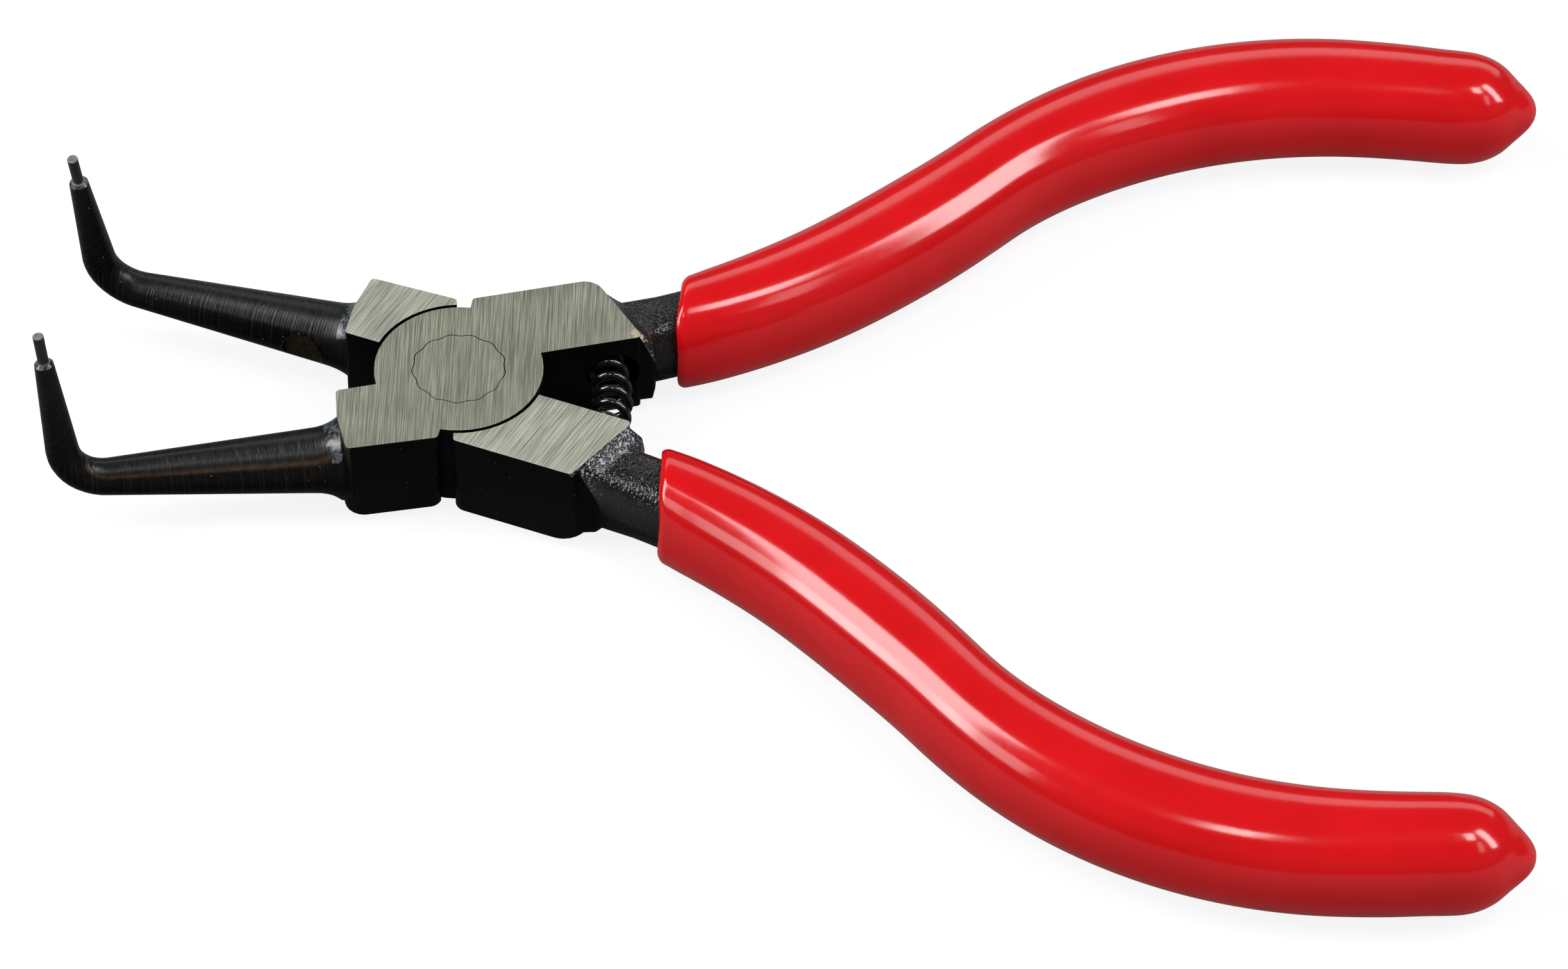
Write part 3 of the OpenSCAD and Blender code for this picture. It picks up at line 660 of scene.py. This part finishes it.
def arm_mesh(node_name, side):
    """Copy of a CAD arm: merged, bevelled, and cut along the border of the forged skin."""
    work = bmesh.new()
    work.from_mesh(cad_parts[node_name].data)
    bmesh.ops.remove_doubles(work, verts=work.verts, dist=MERGE_DIST)
    if side > 0:
        own = shut_frame(np.array([vertex.co for vertex in work.verts]) / MM, side)
        for vertex, place in zip(work.verts, open_pose(widen_corner(own), side) * MM):
            vertex.co = place
    bmesh.ops.dissolve_limit(work, angle_limit=math.radians(FLAT_ANGLE),
                             verts=work.verts, edges=work.edges)
    for face in work.faces:
        face.material_index = FLANK
    rims = bevel_rims(work)
    if side < 0:
        rims += bevel_spot(work, side)
    on_plane = open_pose(np.array([FORGED_FROM, 0.0, 0.0]), side) * MM
    bmesh.ops.bisect_plane(work, geom=work.verts[:] + work.edges[:] + work.faces[:], dist=CUT_DIST,
                           plane_co=on_plane, plane_no=open_pose(FORGED_LEAN, side))
    bmesh.ops.triangulate(work, faces=work.faces, quad_method="BEAUTY", ngon_method="BEAUTY")
    mesh = bpy.data.meshes.new(node_name + "_dressed")
    work.to_mesh(mesh)
    work.free()
    # The solid's stored normals no longer fit the new faces.
    if "custom_normal" in mesh.attributes:
        mesh.attributes.remove(mesh.attributes["custom_normal"])
    print(node_name, "rims bevelled:", rims)
    return mesh


def store(mesh, name, values):
    """Keeps one number per point of a mesh under a name, for a finish to read."""
    mesh.attributes.new(name, "FLOAT", "POINT").data.foreach_set("value", values.astype(np.float32))


def dress_arm(node_name, side, body, ground, turned, forged):
    """An arm with its finishes, and the numbers along, facing and behind on its points.

    along is the length along the jaw and up its leg, facing is the upward part of the normal, and
    behind is the distance behind the plane where the forged skin begins.
    """
    mesh = arm_mesh(node_name, side)
    for material in (black_flank, ground, turned, forged,
                     bright_edge, black_polished_glint, olive_rim, olive_flat):
        mesh.materials.append(material)
    finish = face_finishes(mesh, side)
    mesh.polygons.foreach_set("material_index", finish)
    mesh.polygons.foreach_set("use_smooth", finish != GROUND)
    mesh.set_sharp_from_angle(angle=math.radians(SHARP_ANGLE))
    own = shut_frame(vectors_of(mesh.vertices, "co") / MM, side)
    store(mesh, "along", (-own[:, 0] + np.maximum(0, own[:, 2] - LEG_FROM)) * MM)
    store(mesh, "facing", vectors_of(mesh.vertices, "normal")[:, 2])
    store(mesh, "behind", (own @ FORGED_LEAN - FORGED_FROM) / np.linalg.norm(FORGED_LEAN) * MM)
    piece = bpy.data.objects.new(node_name + "_steel", mesh)
    scene.collection.objects.link(piece)
    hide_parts(node_name)
    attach(piece, body)
    print(node_name, "faces", len(mesh.polygons), "by finish", np.bincount(finish, minlength=8))


dress_arm("top_arm", 1, "top", ground_top, turned_top, forged_top)
dress_arm("under_arm", -1, "under", ground_under, turned_under, forged_under)

# %% [markdown]
# ## Sweeps
# Grips, spring and pins are profiles carried along a path. Blender's curves can do that with
# a bevel object, but a grid shows the arithmetic: one index runs along the path, the other
# round the profile, so every point comes from whole-array arithmetic and the faces are the
# same pattern each time. The handle's path is a chain of arcs, the same as in the CAD.

# %% Sweep helpers
def grid_faces(rows, columns):
    """Quads of a grid that closes round its columns: corner j of row i joins j + 1 and row i + 1."""
    i, j = np.meshgrid(np.arange(rows - 1) * columns, np.arange(columns), indexing="ij")
    k = (j + 1) % columns
    return np.stack([i + j, i + k, i + columns + k, i + columns + j], -1).reshape(-1, 4)


def make_piece(name, points, faces, finish):
    """A smooth mesh object at the origin from points in millimetres and faces."""
    mesh = bpy.data.meshes.new(name)
    mesh.from_pydata((points * MM).tolist(), [], [list(face) for face in faces])
    mesh.polygons.foreach_set("use_smooth", np.ones(len(mesh.polygons), dtype=bool))
    mesh.materials.append(finish)
    mesh.validate()
    mesh.update()
    piece = bpy.data.objects.new(name, mesh)
    scene.collection.objects.link(piece)
    return piece


# Start and first direction of the handle's path, then length and turn of each of its arcs.
PATH_X, PATH_Y, PATH_HEADING = 14.0, 3.7, 1.4
PATH_LEN = 86.5
ARC_LENGTH = PATH_LEN * np.array([0.2532, 0.1665, 0.4, 0.0693, 0.111])
ARC_TURN = np.radians([21.9, 7.25, -47.6, -5.0, 8.0])


def sums_before(steps):
    """Sum of all earlier steps at each step."""
    return np.concatenate([[0], np.cumsum(steps)])[:-1]


arc_start = sums_before(ARC_LENGTH)
arc_dir = math.radians(PATH_HEADING) + sums_before(ARC_TURN)
arc_radius = ARC_LENGTH / ARC_TURN
arc_x = PATH_X + sums_before(arc_radius * (np.sin(arc_dir + ARC_TURN) - np.sin(arc_dir)))
arc_y = PATH_Y + sums_before(arc_radius * (np.cos(arc_dir) - np.cos(arc_dir + ARC_TURN)))


def handle_path(s):
    """Point and direction at length s.

    On an arc of radius r that starts in direction h, a is the length on the arc over r,
    x = x0 + r (sin(h + a) - sin h) and y = y0 + r (cos h - cos(h + a)).
    """
    i = np.clip(np.searchsorted(arc_start, s, side="right") - 1, 0, len(arc_start) - 1)
    h = arc_dir[i]
    a = (s - arc_start[i]) / arc_radius[i]
    x = arc_x[i] + arc_radius[i] * (np.sin(h + a) - np.sin(h))
    y = arc_y[i] + arc_radius[i] * (np.cos(h) - np.cos(h + a))
    return x, y, h + a


def smooth_table(table, s):
    """Hermite curve through the rows of a table, with slopes from its neighbours."""
    knots, values = np.array(table, float).T
    before = np.maximum(np.arange(len(knots)) - 1, 0)
    after = np.minimum(np.arange(len(knots)) + 1, len(knots) - 1)
    slopes = (values[after] - values[before]) / (knots[after] - knots[before])
    s = np.clip(s, knots[0], knots[-1])
    i = np.clip(np.searchsorted(knots, s, side="right") - 1, 0, len(knots) - 2)
    h = knots[i + 1] - knots[i]
    t = (s - knots[i]) / h
    return ((1 + 2 * t) * (1 - t) ** 2 * values[i] + t * (1 - t) ** 2 * h * slopes[i]
            + t * t * (3 - 2 * t) * values[i + 1] + t * t * (t - 1) * h * slopes[i + 1])


print("path ends at", np.round(handle_path(np.array([PATH_LEN])), 2).ravel())

# %% [markdown]
# ## Red coating
# The grips are made by dipping the warm tang into liquid plastic. The skin that stays on is
# glossy, slightly wavy and deep red. A clear coat over a matt red would look like lacquer, so
# one glossy surface with some red light scattering inside it is used instead. A slow, shallow
# relief keeps the long highlight from being ruler straight.

# %% Red coating
def red_finish():
    """Glossy dipped plastic with slow waves and a few fine pits."""
    material, shader = new_finish("red_dip")
    slow = clouds(material, 7, 2.0, 0.5)
    fine = clouds(material, 0.32, 2.0, 0.5)
    # The lower half lies on the bench and is scuffed duller. The plastic is a little
    # translucent: red light that enters on top leaves again at the sides.
    set_inputs(material, shader, {
        "Base Color": ramp(material, slow, [(0.3, (0.49, 0.004, 0.006)), (0.7, (0.55, 0.005, 0.008))]),
        "Roughness": ramp(material, fine, [(0.3, 0.12), (0.7, 0.17)]),
        "Specular IOR Level": ramp(material, stored(material, "facing"), [(0.0, 0.2), (0.55, 0.6)]),
        "Subsurface Weight": 0.5,
        "Subsurface Radius": (1.0, 0.15, 0.15),
        "Subsurface Scale": 3 * MM})
    first = relief(material, shader, slow, 0.08, 0.3)
    relief(material, shader, fine, 0.0025, 0.6, first)
    return material


red_dip = red_finish()
print("grip finish:", red_dip.name)

# %% [markdown]
# ## Grips
# A grip is a soft oval that swells and thins along the handle, rolls in at its front lip and
# ends in a blunt nose. It could be sculpted, or a cylinder could be bent with modifiers. As
# a sweep with two short tables, one for its width and one for its nose, it follows the CAD
# closely. The lip is cut square across the open pliers, and its edge wanders a little, as a
# dip line does.

# %% Grips
GRIP_START = 5.4
# Half width, half height, roundness of the oval, and number of points round it.
GRIP_A, GRIP_B, GRIP_SQUARE, GRIP_COLUMNS = 4.95, 4.8, 2.3, 112
# Height of the handle's axis, and its rise towards the nose.
MID_Z, END_LIFT = 3.8, 0.35
# Share of the path's length, and share of the widest half width.
GRIP_SHAPE = [(0, 0.732), (0.06, 0.755), (0.097, 0.814), (0.206, 0.885), (0.327, 0.912),
              (0.434, 0.883), (0.572, 0.972), (0.674, 1), (0.769, 0.984), (0.861, 0.934),
              (0.913, 0.902), (1.04, 0.886)]
NOSE_LEN = 7.4
# Share of the nose's length from its end, and share of the full section.
NOSE_SHAPE = [(0, 0.06), (0.009, 0.125), (0.03, 0.2), (0.065, 0.285), (0.104, 0.355),
              (0.165, 0.45), (0.228, 0.54), (0.3, 0.65), (0.378, 0.757), (0.503, 0.872),
              (0.627, 0.942), (0.75, 0.98), (0.88, 0.995), (1, 1)]
# Rows of points: behind the front lip, where they are close, then along body and nose.
LIP_ROWS = np.array([0, 0, 0.03, 0.1, 0.2, 0.35, 0.5, 0.7, 0.9, 1.15, 1.5, 2.0])
BODY_FROM, BODY_ROWS, BODY_TO, NOSE_ROWS = 2.6, 150, 0.4, 34
# The lip rolls in by the first length over the second; its first row is tucked in to the neck.
LIP_IN, LIP_ROLL, LIP_POWER, LIP_TUCK = 0.34, 0.7, 2.5, 1.15
# The lip wanders by two slow waves and five small ones round the neck, of these heights.
WANDER_SLOW, WANDER_SMALL, WANDER_PHASE = 0.10, 0.05, 0.8
# The slant of the lip and its wandering die out behind it over these lengths.
SLANT_LEN, WANDER_LEN = 8, 1.5
lip_slant = math.tan(math.radians(OPEN_HALF) + handle_path(np.array([GRIP_START]))[2][0])


def grip_points():
    """Superellipse |u/a|^q + |z/b|^q = 1 carried along the handle's path.

    a and b grow less at lip and nose. Also gives the upward part of the oval's direction at each
    point, and 0 for the tip.
    """
    lip = GRIP_START + LIP_ROWS
    body = np.linspace(GRIP_START + BODY_FROM, PATH_LEN - NOSE_LEN - BODY_TO, BODY_ROWS)
    nose = PATH_LEN - NOSE_LEN * (1 - np.sin(np.linspace(0, np.pi / 2, NOSE_ROWS)))
    s = np.concatenate([lip, body, nose])
    inset = LIP_IN * (1 - np.clip(s - GRIP_START, 0, LIP_ROLL) / LIP_ROLL) ** LIP_POWER
    inset[0] = LIP_TUCK
    share = smooth_table(NOSE_SHAPE, (PATH_LEN - s) / NOSE_LEN)
    half_a = (GRIP_A * smooth_table(GRIP_SHAPE, s / PATH_LEN) - inset) * share
    half_b = (GRIP_B - inset) * share
    angle = np.linspace(0, 2 * np.pi, GRIP_COLUMNS, endpoint=False)
    round_u = np.sign(np.cos(angle)) * np.abs(np.cos(angle)) ** (2 / GRIP_SQUARE)
    round_z = np.sign(np.sin(angle)) * np.abs(np.sin(angle)) ** (2 / GRIP_SQUARE)
    x, y, h = (values[:, None] for values in handle_path(s))
    u = half_a[:, None] * round_u
    behind = (s - GRIP_START)[:, None]
    slant = lip_slant * np.clip(1 - behind / SLANT_LEN, 0, 1)
    wander = WANDER_SLOW * np.sin(2 * angle + WANDER_PHASE) + WANDER_SMALL * np.sin(5 * angle)
    ahead = u * slant + wander * np.exp(-behind / WANDER_LEN)
    lift = END_LIFT * (np.maximum(0, s - PATH_LEN / 2) / (PATH_LEN / 2)) ** 2
    points = np.stack([
        x - u * np.sin(h) + ahead * np.cos(h),
        y + u * np.cos(h) + ahead * np.sin(h),
        MID_Z + lift[:, None] + half_b[:, None] * round_z], -1)
    return points, np.append(np.tile(round_z, len(s)), 0.0)


def make_grip(node_name, side, body):
    """A grip: the swept grid, a fan that closes its nose and an open front lip that meets the neck."""
    points, upward = grip_points()
    points = open_pose(points, side)
    rows, columns = points.shape[:2]
    faces = grid_faces(rows, columns)
    tip = points[-1].mean(axis=0)
    j = np.arange(columns)
    last = (rows - 1) * columns
    fan = np.stack([last + j, last + (j + 1) % columns, np.full(columns, rows * columns)], -1)
    if side > 0:
        faces = faces[:, ::-1]
        fan = fan[:, ::-1]
    every = list(map(tuple, faces)) + list(map(tuple, fan))
    piece = make_piece(node_name + "_dip", np.vstack([points.reshape(-1, 3), tip]), every, red_dip)
    store(piece.data, "facing", upward)
    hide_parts(node_name)
    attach(piece, body)
    print(piece.name, "faces", len(every))


make_grip("top_grip", 1, "top")
make_grip("under_grip", -1, "under")

# %% [markdown]
# ## Return spring
# A black wire coil pushes the handles apart. Its ends sit in blind pockets of the two arms
# and its axis bends in an arc about the rivet. A screw modifier makes a straight coil that
# would have to be bent afterwards, so the wire is a circle carried along a helix that knows
# the arc.

# %% Spring
# Distance of the pockets from the rivet's axis, their depth, and how far the flanks lie in.
POCKET_X, POCKET_D, FLANK_IN = 12.9, 4.0, 0.3
SPRING_Z, SPRING_R, WIRE_D, TURNS = 4.3, 1.72, 0.72, 9
# The axis is an arc about the rivet, a little inside the pockets, and goes on straight in them.
BOW_IN = 0.4
BOW_R = POCKET_X - BOW_IN
BOW_HALF = BOW_R * math.radians(OPEN_HALF)
SPRING_HALF = BOW_HALF + FLANK_IN + POCKET_D
# The end turns lie close together, and leave this gap to the floor of the pocket.
SHUT_PITCH = WIRE_D * 1.04
END_GAP = 0.05
ROWS_PER_TURN, WIRE_SIDES = 40, 18
# Share of a turn, ahead and behind, that gives the direction of the wire.
STEP = 0.004


def spring_finish():
    """Hard drawn wire with a thin glossy black skin, dull underneath; the number facing is up or down."""
    material, shader = new_finish("black_wire")
    cloud = clouds(material, 0.4)
    set_inputs(material, shader, {
        "Base Color": ramp(material, cloud, [(0.3, (0.003, 0.003, 0.0034)), (0.7, (0.007, 0.007, 0.008))]),
        "Roughness": ramp(material, cloud, [(0.3, 0.13), (0.7, 0.20)]),
        "Specular IOR Level": ramp(material, stored(material, "facing"), [(0.1, 0.08), (0.6, 0.9)])})
    relief(material, shader, cloud, 0.002, 0.3)
    return material


def spring_axis(s):
    """Point, forward and outward directions of the axis: an arc about the rivet with straight ends."""
    bow = np.clip(s, -BOW_HALF, BOW_HALF)
    a = bow / BOW_R
    zero = np.zeros_like(a)
    out = np.stack([np.cos(a), np.sin(a), zero], -1)
    on = np.stack([-np.sin(a), np.cos(a), zero], -1)
    return BOW_R * out + (s - bow)[:, None] * on + np.array([0, 0, SPRING_Z]), on, out


def wire_line(t):
    """Centre of the wire after t turns: the axis point plus a circle that turns once per turn."""
    first = -SPRING_HALF + WIRE_D / 2 + END_GAP
    pitch = (-2 * first - 2 * SHUT_PITCH) / TURNS
    shut_turns = np.minimum(t, 1) + np.maximum(t - 1 - TURNS, 0)
    s = first + SHUT_PITCH * shut_turns + pitch * np.clip(t - 1, 0, TURNS)
    point, _, out = spring_axis(s)
    angle = 2 * np.pi * t[:, None]
    arm = np.cos(angle) * out + np.sin(angle) * np.array([0, 0, 1.0])
    return point + (SPRING_R - WIRE_D / 2) * arm, arm


def make_spring():
    """Circle of the wire's radius carried along the helix, with flat ends."""
    t = np.linspace(0, TURNS + 2, (TURNS + 2) * ROWS_PER_TURN + 1)
    line, arm = wire_line(t)
    ahead = wire_line(t + STEP)[0] - wire_line(t - STEP)[0]
    ahead /= np.linalg.norm(ahead, axis=1)[:, None]
    side = np.cross(ahead, arm)
    side /= np.linalg.norm(side, axis=1)[:, None]
    flat = np.cross(side, ahead)
    angle = np.linspace(0, 2 * np.pi, WIRE_SIDES, endpoint=False)[None, :, None]
    ring = np.cos(angle) * flat[:, None] + np.sin(angle) * side[:, None]
    points = line[:, None] + WIRE_D / 2 * ring
    rows, columns = points.shape[:2]
    faces = list(map(tuple, grid_faces(rows, columns)))
    faces.append(tuple(range(columns - 1, -1, -1)))
    faces.append(tuple((rows - 1) * columns + np.arange(columns)))
    piece = make_piece("return_spring", points.reshape(-1, 3), faces, spring_finish())
    store(piece.data, "facing", ring[..., 2].ravel())
    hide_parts("spring")
    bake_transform(piece)
    print("spring faces", len(faces), "turns", TURNS + 2)


make_spring()

# %% [markdown]
# ## Tip pins and rivet
# The tip pins are slim turned pins, black on the sides and bare on the cut ends. A cylinder
# with a bevel would do, but a profile turned about its axis is a grid too: height along one
# index, angle along the other, with the share of bare steel as a third column. The rivet
# keeps its CAD shape, whose wavy seam is already modelled, and only takes the ground finish
# of the arm that holds it.

# %% Tip pins and rivet
# Ends of the upright leg's axis, in the shut arm's axes.
ELBOW = np.array([-32.6, -1.72, 4.2])
LEG_TOP = np.array([-33.65, -0.38, 16.95])
PIN_SIDES = 48
# Height above the leg's end, radius, and share of bare steel: shank, wall, chamfer and flat end.
PIN_PROFILE = [(-0.3, 0.40, 0), (0, 0.45, 0), (0.9, 0.45, 0), (1.8, 0.45, 0), (2.55, 0.45, 0),
               (2.63, 0.45, 0.1), (2.67, 0.448, 0.6), (2.71, 0.43, 1), (2.74, 0.40, 1),
               (2.75, 0.37, 1), (2.75, 0.2, 0.8), (2.75, 0.02, 0.8)]


def pin_finish():
    """Blackened pin with a bare end: the number bare picks the steel."""
    material, shader = new_finish("tip_steel")
    cloud = clouds(material, 0.2)
    dark = ramp(material, cloud, [(0.3, (0.006, 0.006, 0.0065)), (0.7, (0.018, 0.018, 0.019))])
    steel = ramp(material, cloud, [(0.3, (0.09, 0.08, 0.068)), (0.7, (0.24, 0.22, 0.19))])
    set_inputs(material, shader, {
        "Base Color": mix(material, "MIX", stored(material, "bare"), dark, steel),
        "Roughness": 0.38,
        "Specular IOR Level": 0.25})
    relief(material, shader, cloud, 0.01, 0.5)
    return material


tip_steel = pin_finish()


def make_pin(node_name, side, body):
    """Profile turned about the leg's axis: leg top plus height along it plus radius round it."""
    axis = (LEG_TOP - ELBOW) / np.linalg.norm(LEG_TOP - ELBOW)
    across = np.cross(axis, [0, 1, 0])
    across /= np.linalg.norm(across)
    height, radius, bare = np.array(PIN_PROFILE).T
    angle = np.linspace(0, 2 * np.pi, PIN_SIDES, endpoint=False)[:, None]
    ring = np.cos(angle) * across + np.sin(angle) * np.cross(axis, across)
    points = LEG_TOP + height[:, None, None] * axis + radius[:, None, None] * ring
    rows, columns = points.shape[:2]
    faces = grid_faces(rows, columns)
    cap = (rows - 1) * columns + np.arange(columns)
    if side < 0:
        faces = faces[:, ::-1]
        cap = cap[::-1]
    every = list(map(tuple, faces)) + [tuple(cap)]
    piece = make_piece(node_name + "_pin", open_pose(points, side).reshape(-1, 3), every, tip_steel)
    store(piece.data, "bare", np.repeat(bare, columns))
    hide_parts(node_name)
    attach(piece, body)
    print(piece.name, "faces", len(every))


make_pin("top_tip", 1, "top")
make_pin("under_tip", -1, "under")
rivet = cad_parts["rivet"]
rivet.data.materials.clear()
rivet.data.materials.append(ground_top)
print("rivet finish:", ground_top.name)

# %% [markdown]
# ## Floor
# The photograph has a plain white ground. A shadow catcher would show a shadow, but a real
# floor also sends light up to the pliers. It is white to the camera, with part of its
# brightness its own, so the ground stays white while the soft shadow is still there. The
# light that bounces off it is that of a grey floor, and mirror images of it are dim.

# %% Floor
# Half its width, in metres.
FLOOR_HALF = 3.0
FLOOR_GREY = (0.18, 0.18, 0.18)
# Share of its own light in what the camera sees of it, and in what glossy pieces mirror.
SEEN_GLOW, MIRRORED_GLOW = 0.86, 0.08


def floor_finish():
    """A mix of a rough floor and its own light; the kind of ray picks the share of light."""
    material, shader = new_finish("floor_white")
    ray = add(material, "ShaderNodeLightPath").outputs
    colour = mix(material, "MIX", ray["Is Camera Ray"], FLOOR_GREY, (1.0, 1.0, 1.0))
    set_inputs(material, shader, {"Base Color": colour, "Roughness": 0.9, "Specular IOR Level": 0.1})
    glow = add(material, "ShaderNodeEmission", {"Color": (1.0, 1.0, 1.0), "Strength": 1.0})
    seen = arithmetic(material, "MULTIPLY", ray["Is Camera Ray"], SEEN_GLOW)
    mirrored = arithmetic(material, "MAXIMUM", ray["Is Glossy Ray"], ray["Is Transmission Ray"])
    dimmed = arithmetic(material, "MULTIPLY", mirrored, MIRRORED_GLOW)
    share = arithmetic(material, "MAXIMUM", seen, dimmed)
    both = add(material, "ShaderNodeMixShader", {
        "Fac": share, 1: shader.outputs["BSDF"], 2: glow.outputs["Emission"]})
    set_inputs(material, material.node_tree.nodes["Material Output"], {"Surface": both.outputs["Shader"]})
    return material


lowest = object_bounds()[0][2]
corners = [(-1, -1), (1, -1), (1, 1), (-1, 1)]
floor_mesh = bpy.data.meshes.new("floor")
floor_mesh.from_pydata([(x * FLOOR_HALF, y * FLOOR_HALF, lowest) for x, y in corners], [], [(0, 1, 2, 3)])
floor_mesh.materials.append(floor_finish())
floor = bpy.data.objects.new("floor", floor_mesh)
scene.collection.objects.link(floor)
print("floor at", round(lowest / MM, 3), "mm")

# %% [markdown]
# ## Light
# The long highlights on the grips are mirror images of soft boxes, so their places in the
# photograph say where the boxes stood. A ready-made sky picture would light the pliers too,
# but its highlights would lie where they happen to. Each box is given as a place in the sky
# and a spread in degrees, and two fills lift the shaded sides without a mirror image.

# %% Lights
# Distance of the boxes, and the point that they are turned to, in metres.
LIGHT_REACH = 1.5
LIGHT_CENTRE = np.array([0.04, 0.0, 0.0])
ROOM_LIGHT = 0.06
# Name, place in the sky, place that its long side points to, spread in degrees, and brightness.
SOFT_BOXES = [
    ("left_panel", (-50, -3), (-74, -21), (50, 18), 9.5),
    ("left_low_panel", (-57, -24), (-67, -32), (22, 18), 3.8),
    ("right_panel", (45, 3), (62, -11), (40, 12), 11.0),
    ("right_low_panel", (38, -22), (44, -36), (22, 7), 2.6),
    ("overhead_right", (20, -3), (24, -16), (14, 11), 11.0),
    ("overhead_left", (-7, -16), (-10, -26), (12, 5), 15.0),
    ("back_panel", (3, 58), (40, 58), (70, 16), 1.5),
]
FILLS = [
    ("front_fill", (5, -62), (40, -62), (90, 30), 1.1),
    ("right_fill", (62, -38), (62, -20), (40, 24), 2.6),
]


def sky(x, y):
    """Unit vector to a place in the sky, x degrees to the right of straight up and y to the back."""
    angle = math.radians(math.hypot(x, y))
    bearing = math.atan2(y, x)
    flat = math.sin(angle)
    return np.array([flat * math.cos(bearing), flat * math.sin(bearing), math.cos(angle)])


def panel(name, place, toward, spread, brightness):
    """A soft box in the sky at place, its long side pointing toward a second place.

    Its sides are given as degrees seen from the pliers: a side is twice the reach times the tangent
    of half its degrees. Its power is its area times pi times its brightness.
    """
    data = bpy.data.lights.new(name, "AREA")
    data.shape = "RECTANGLE"
    data.size, data.size_y = [2 * LIGHT_REACH * math.tan(math.radians(side / 2)) for side in spread]
    data.energy = math.pi * data.size * data.size_y * brightness
    lamp = bpy.data.objects.new(name, data)
    z = sky(*place)
    x = sky(*toward) - z
    x -= x.dot(z) * z
    x /= np.linalg.norm(x)
    stand(lamp, (x, np.cross(z, x), z), LIGHT_CENTRE + LIGHT_REACH * z)
    return lamp


for row in SOFT_BOXES:
    panel(*row)
for row in FILLS:
    panel(*row).visible_glossy = False
world = bpy.data.worlds.new("soft_room")
scene.world = world
world.use_nodes = True
set_inputs(world, world.node_tree.nodes["Background"], {"Color": (1, 1, 1), "Strength": ROOM_LIGHT})
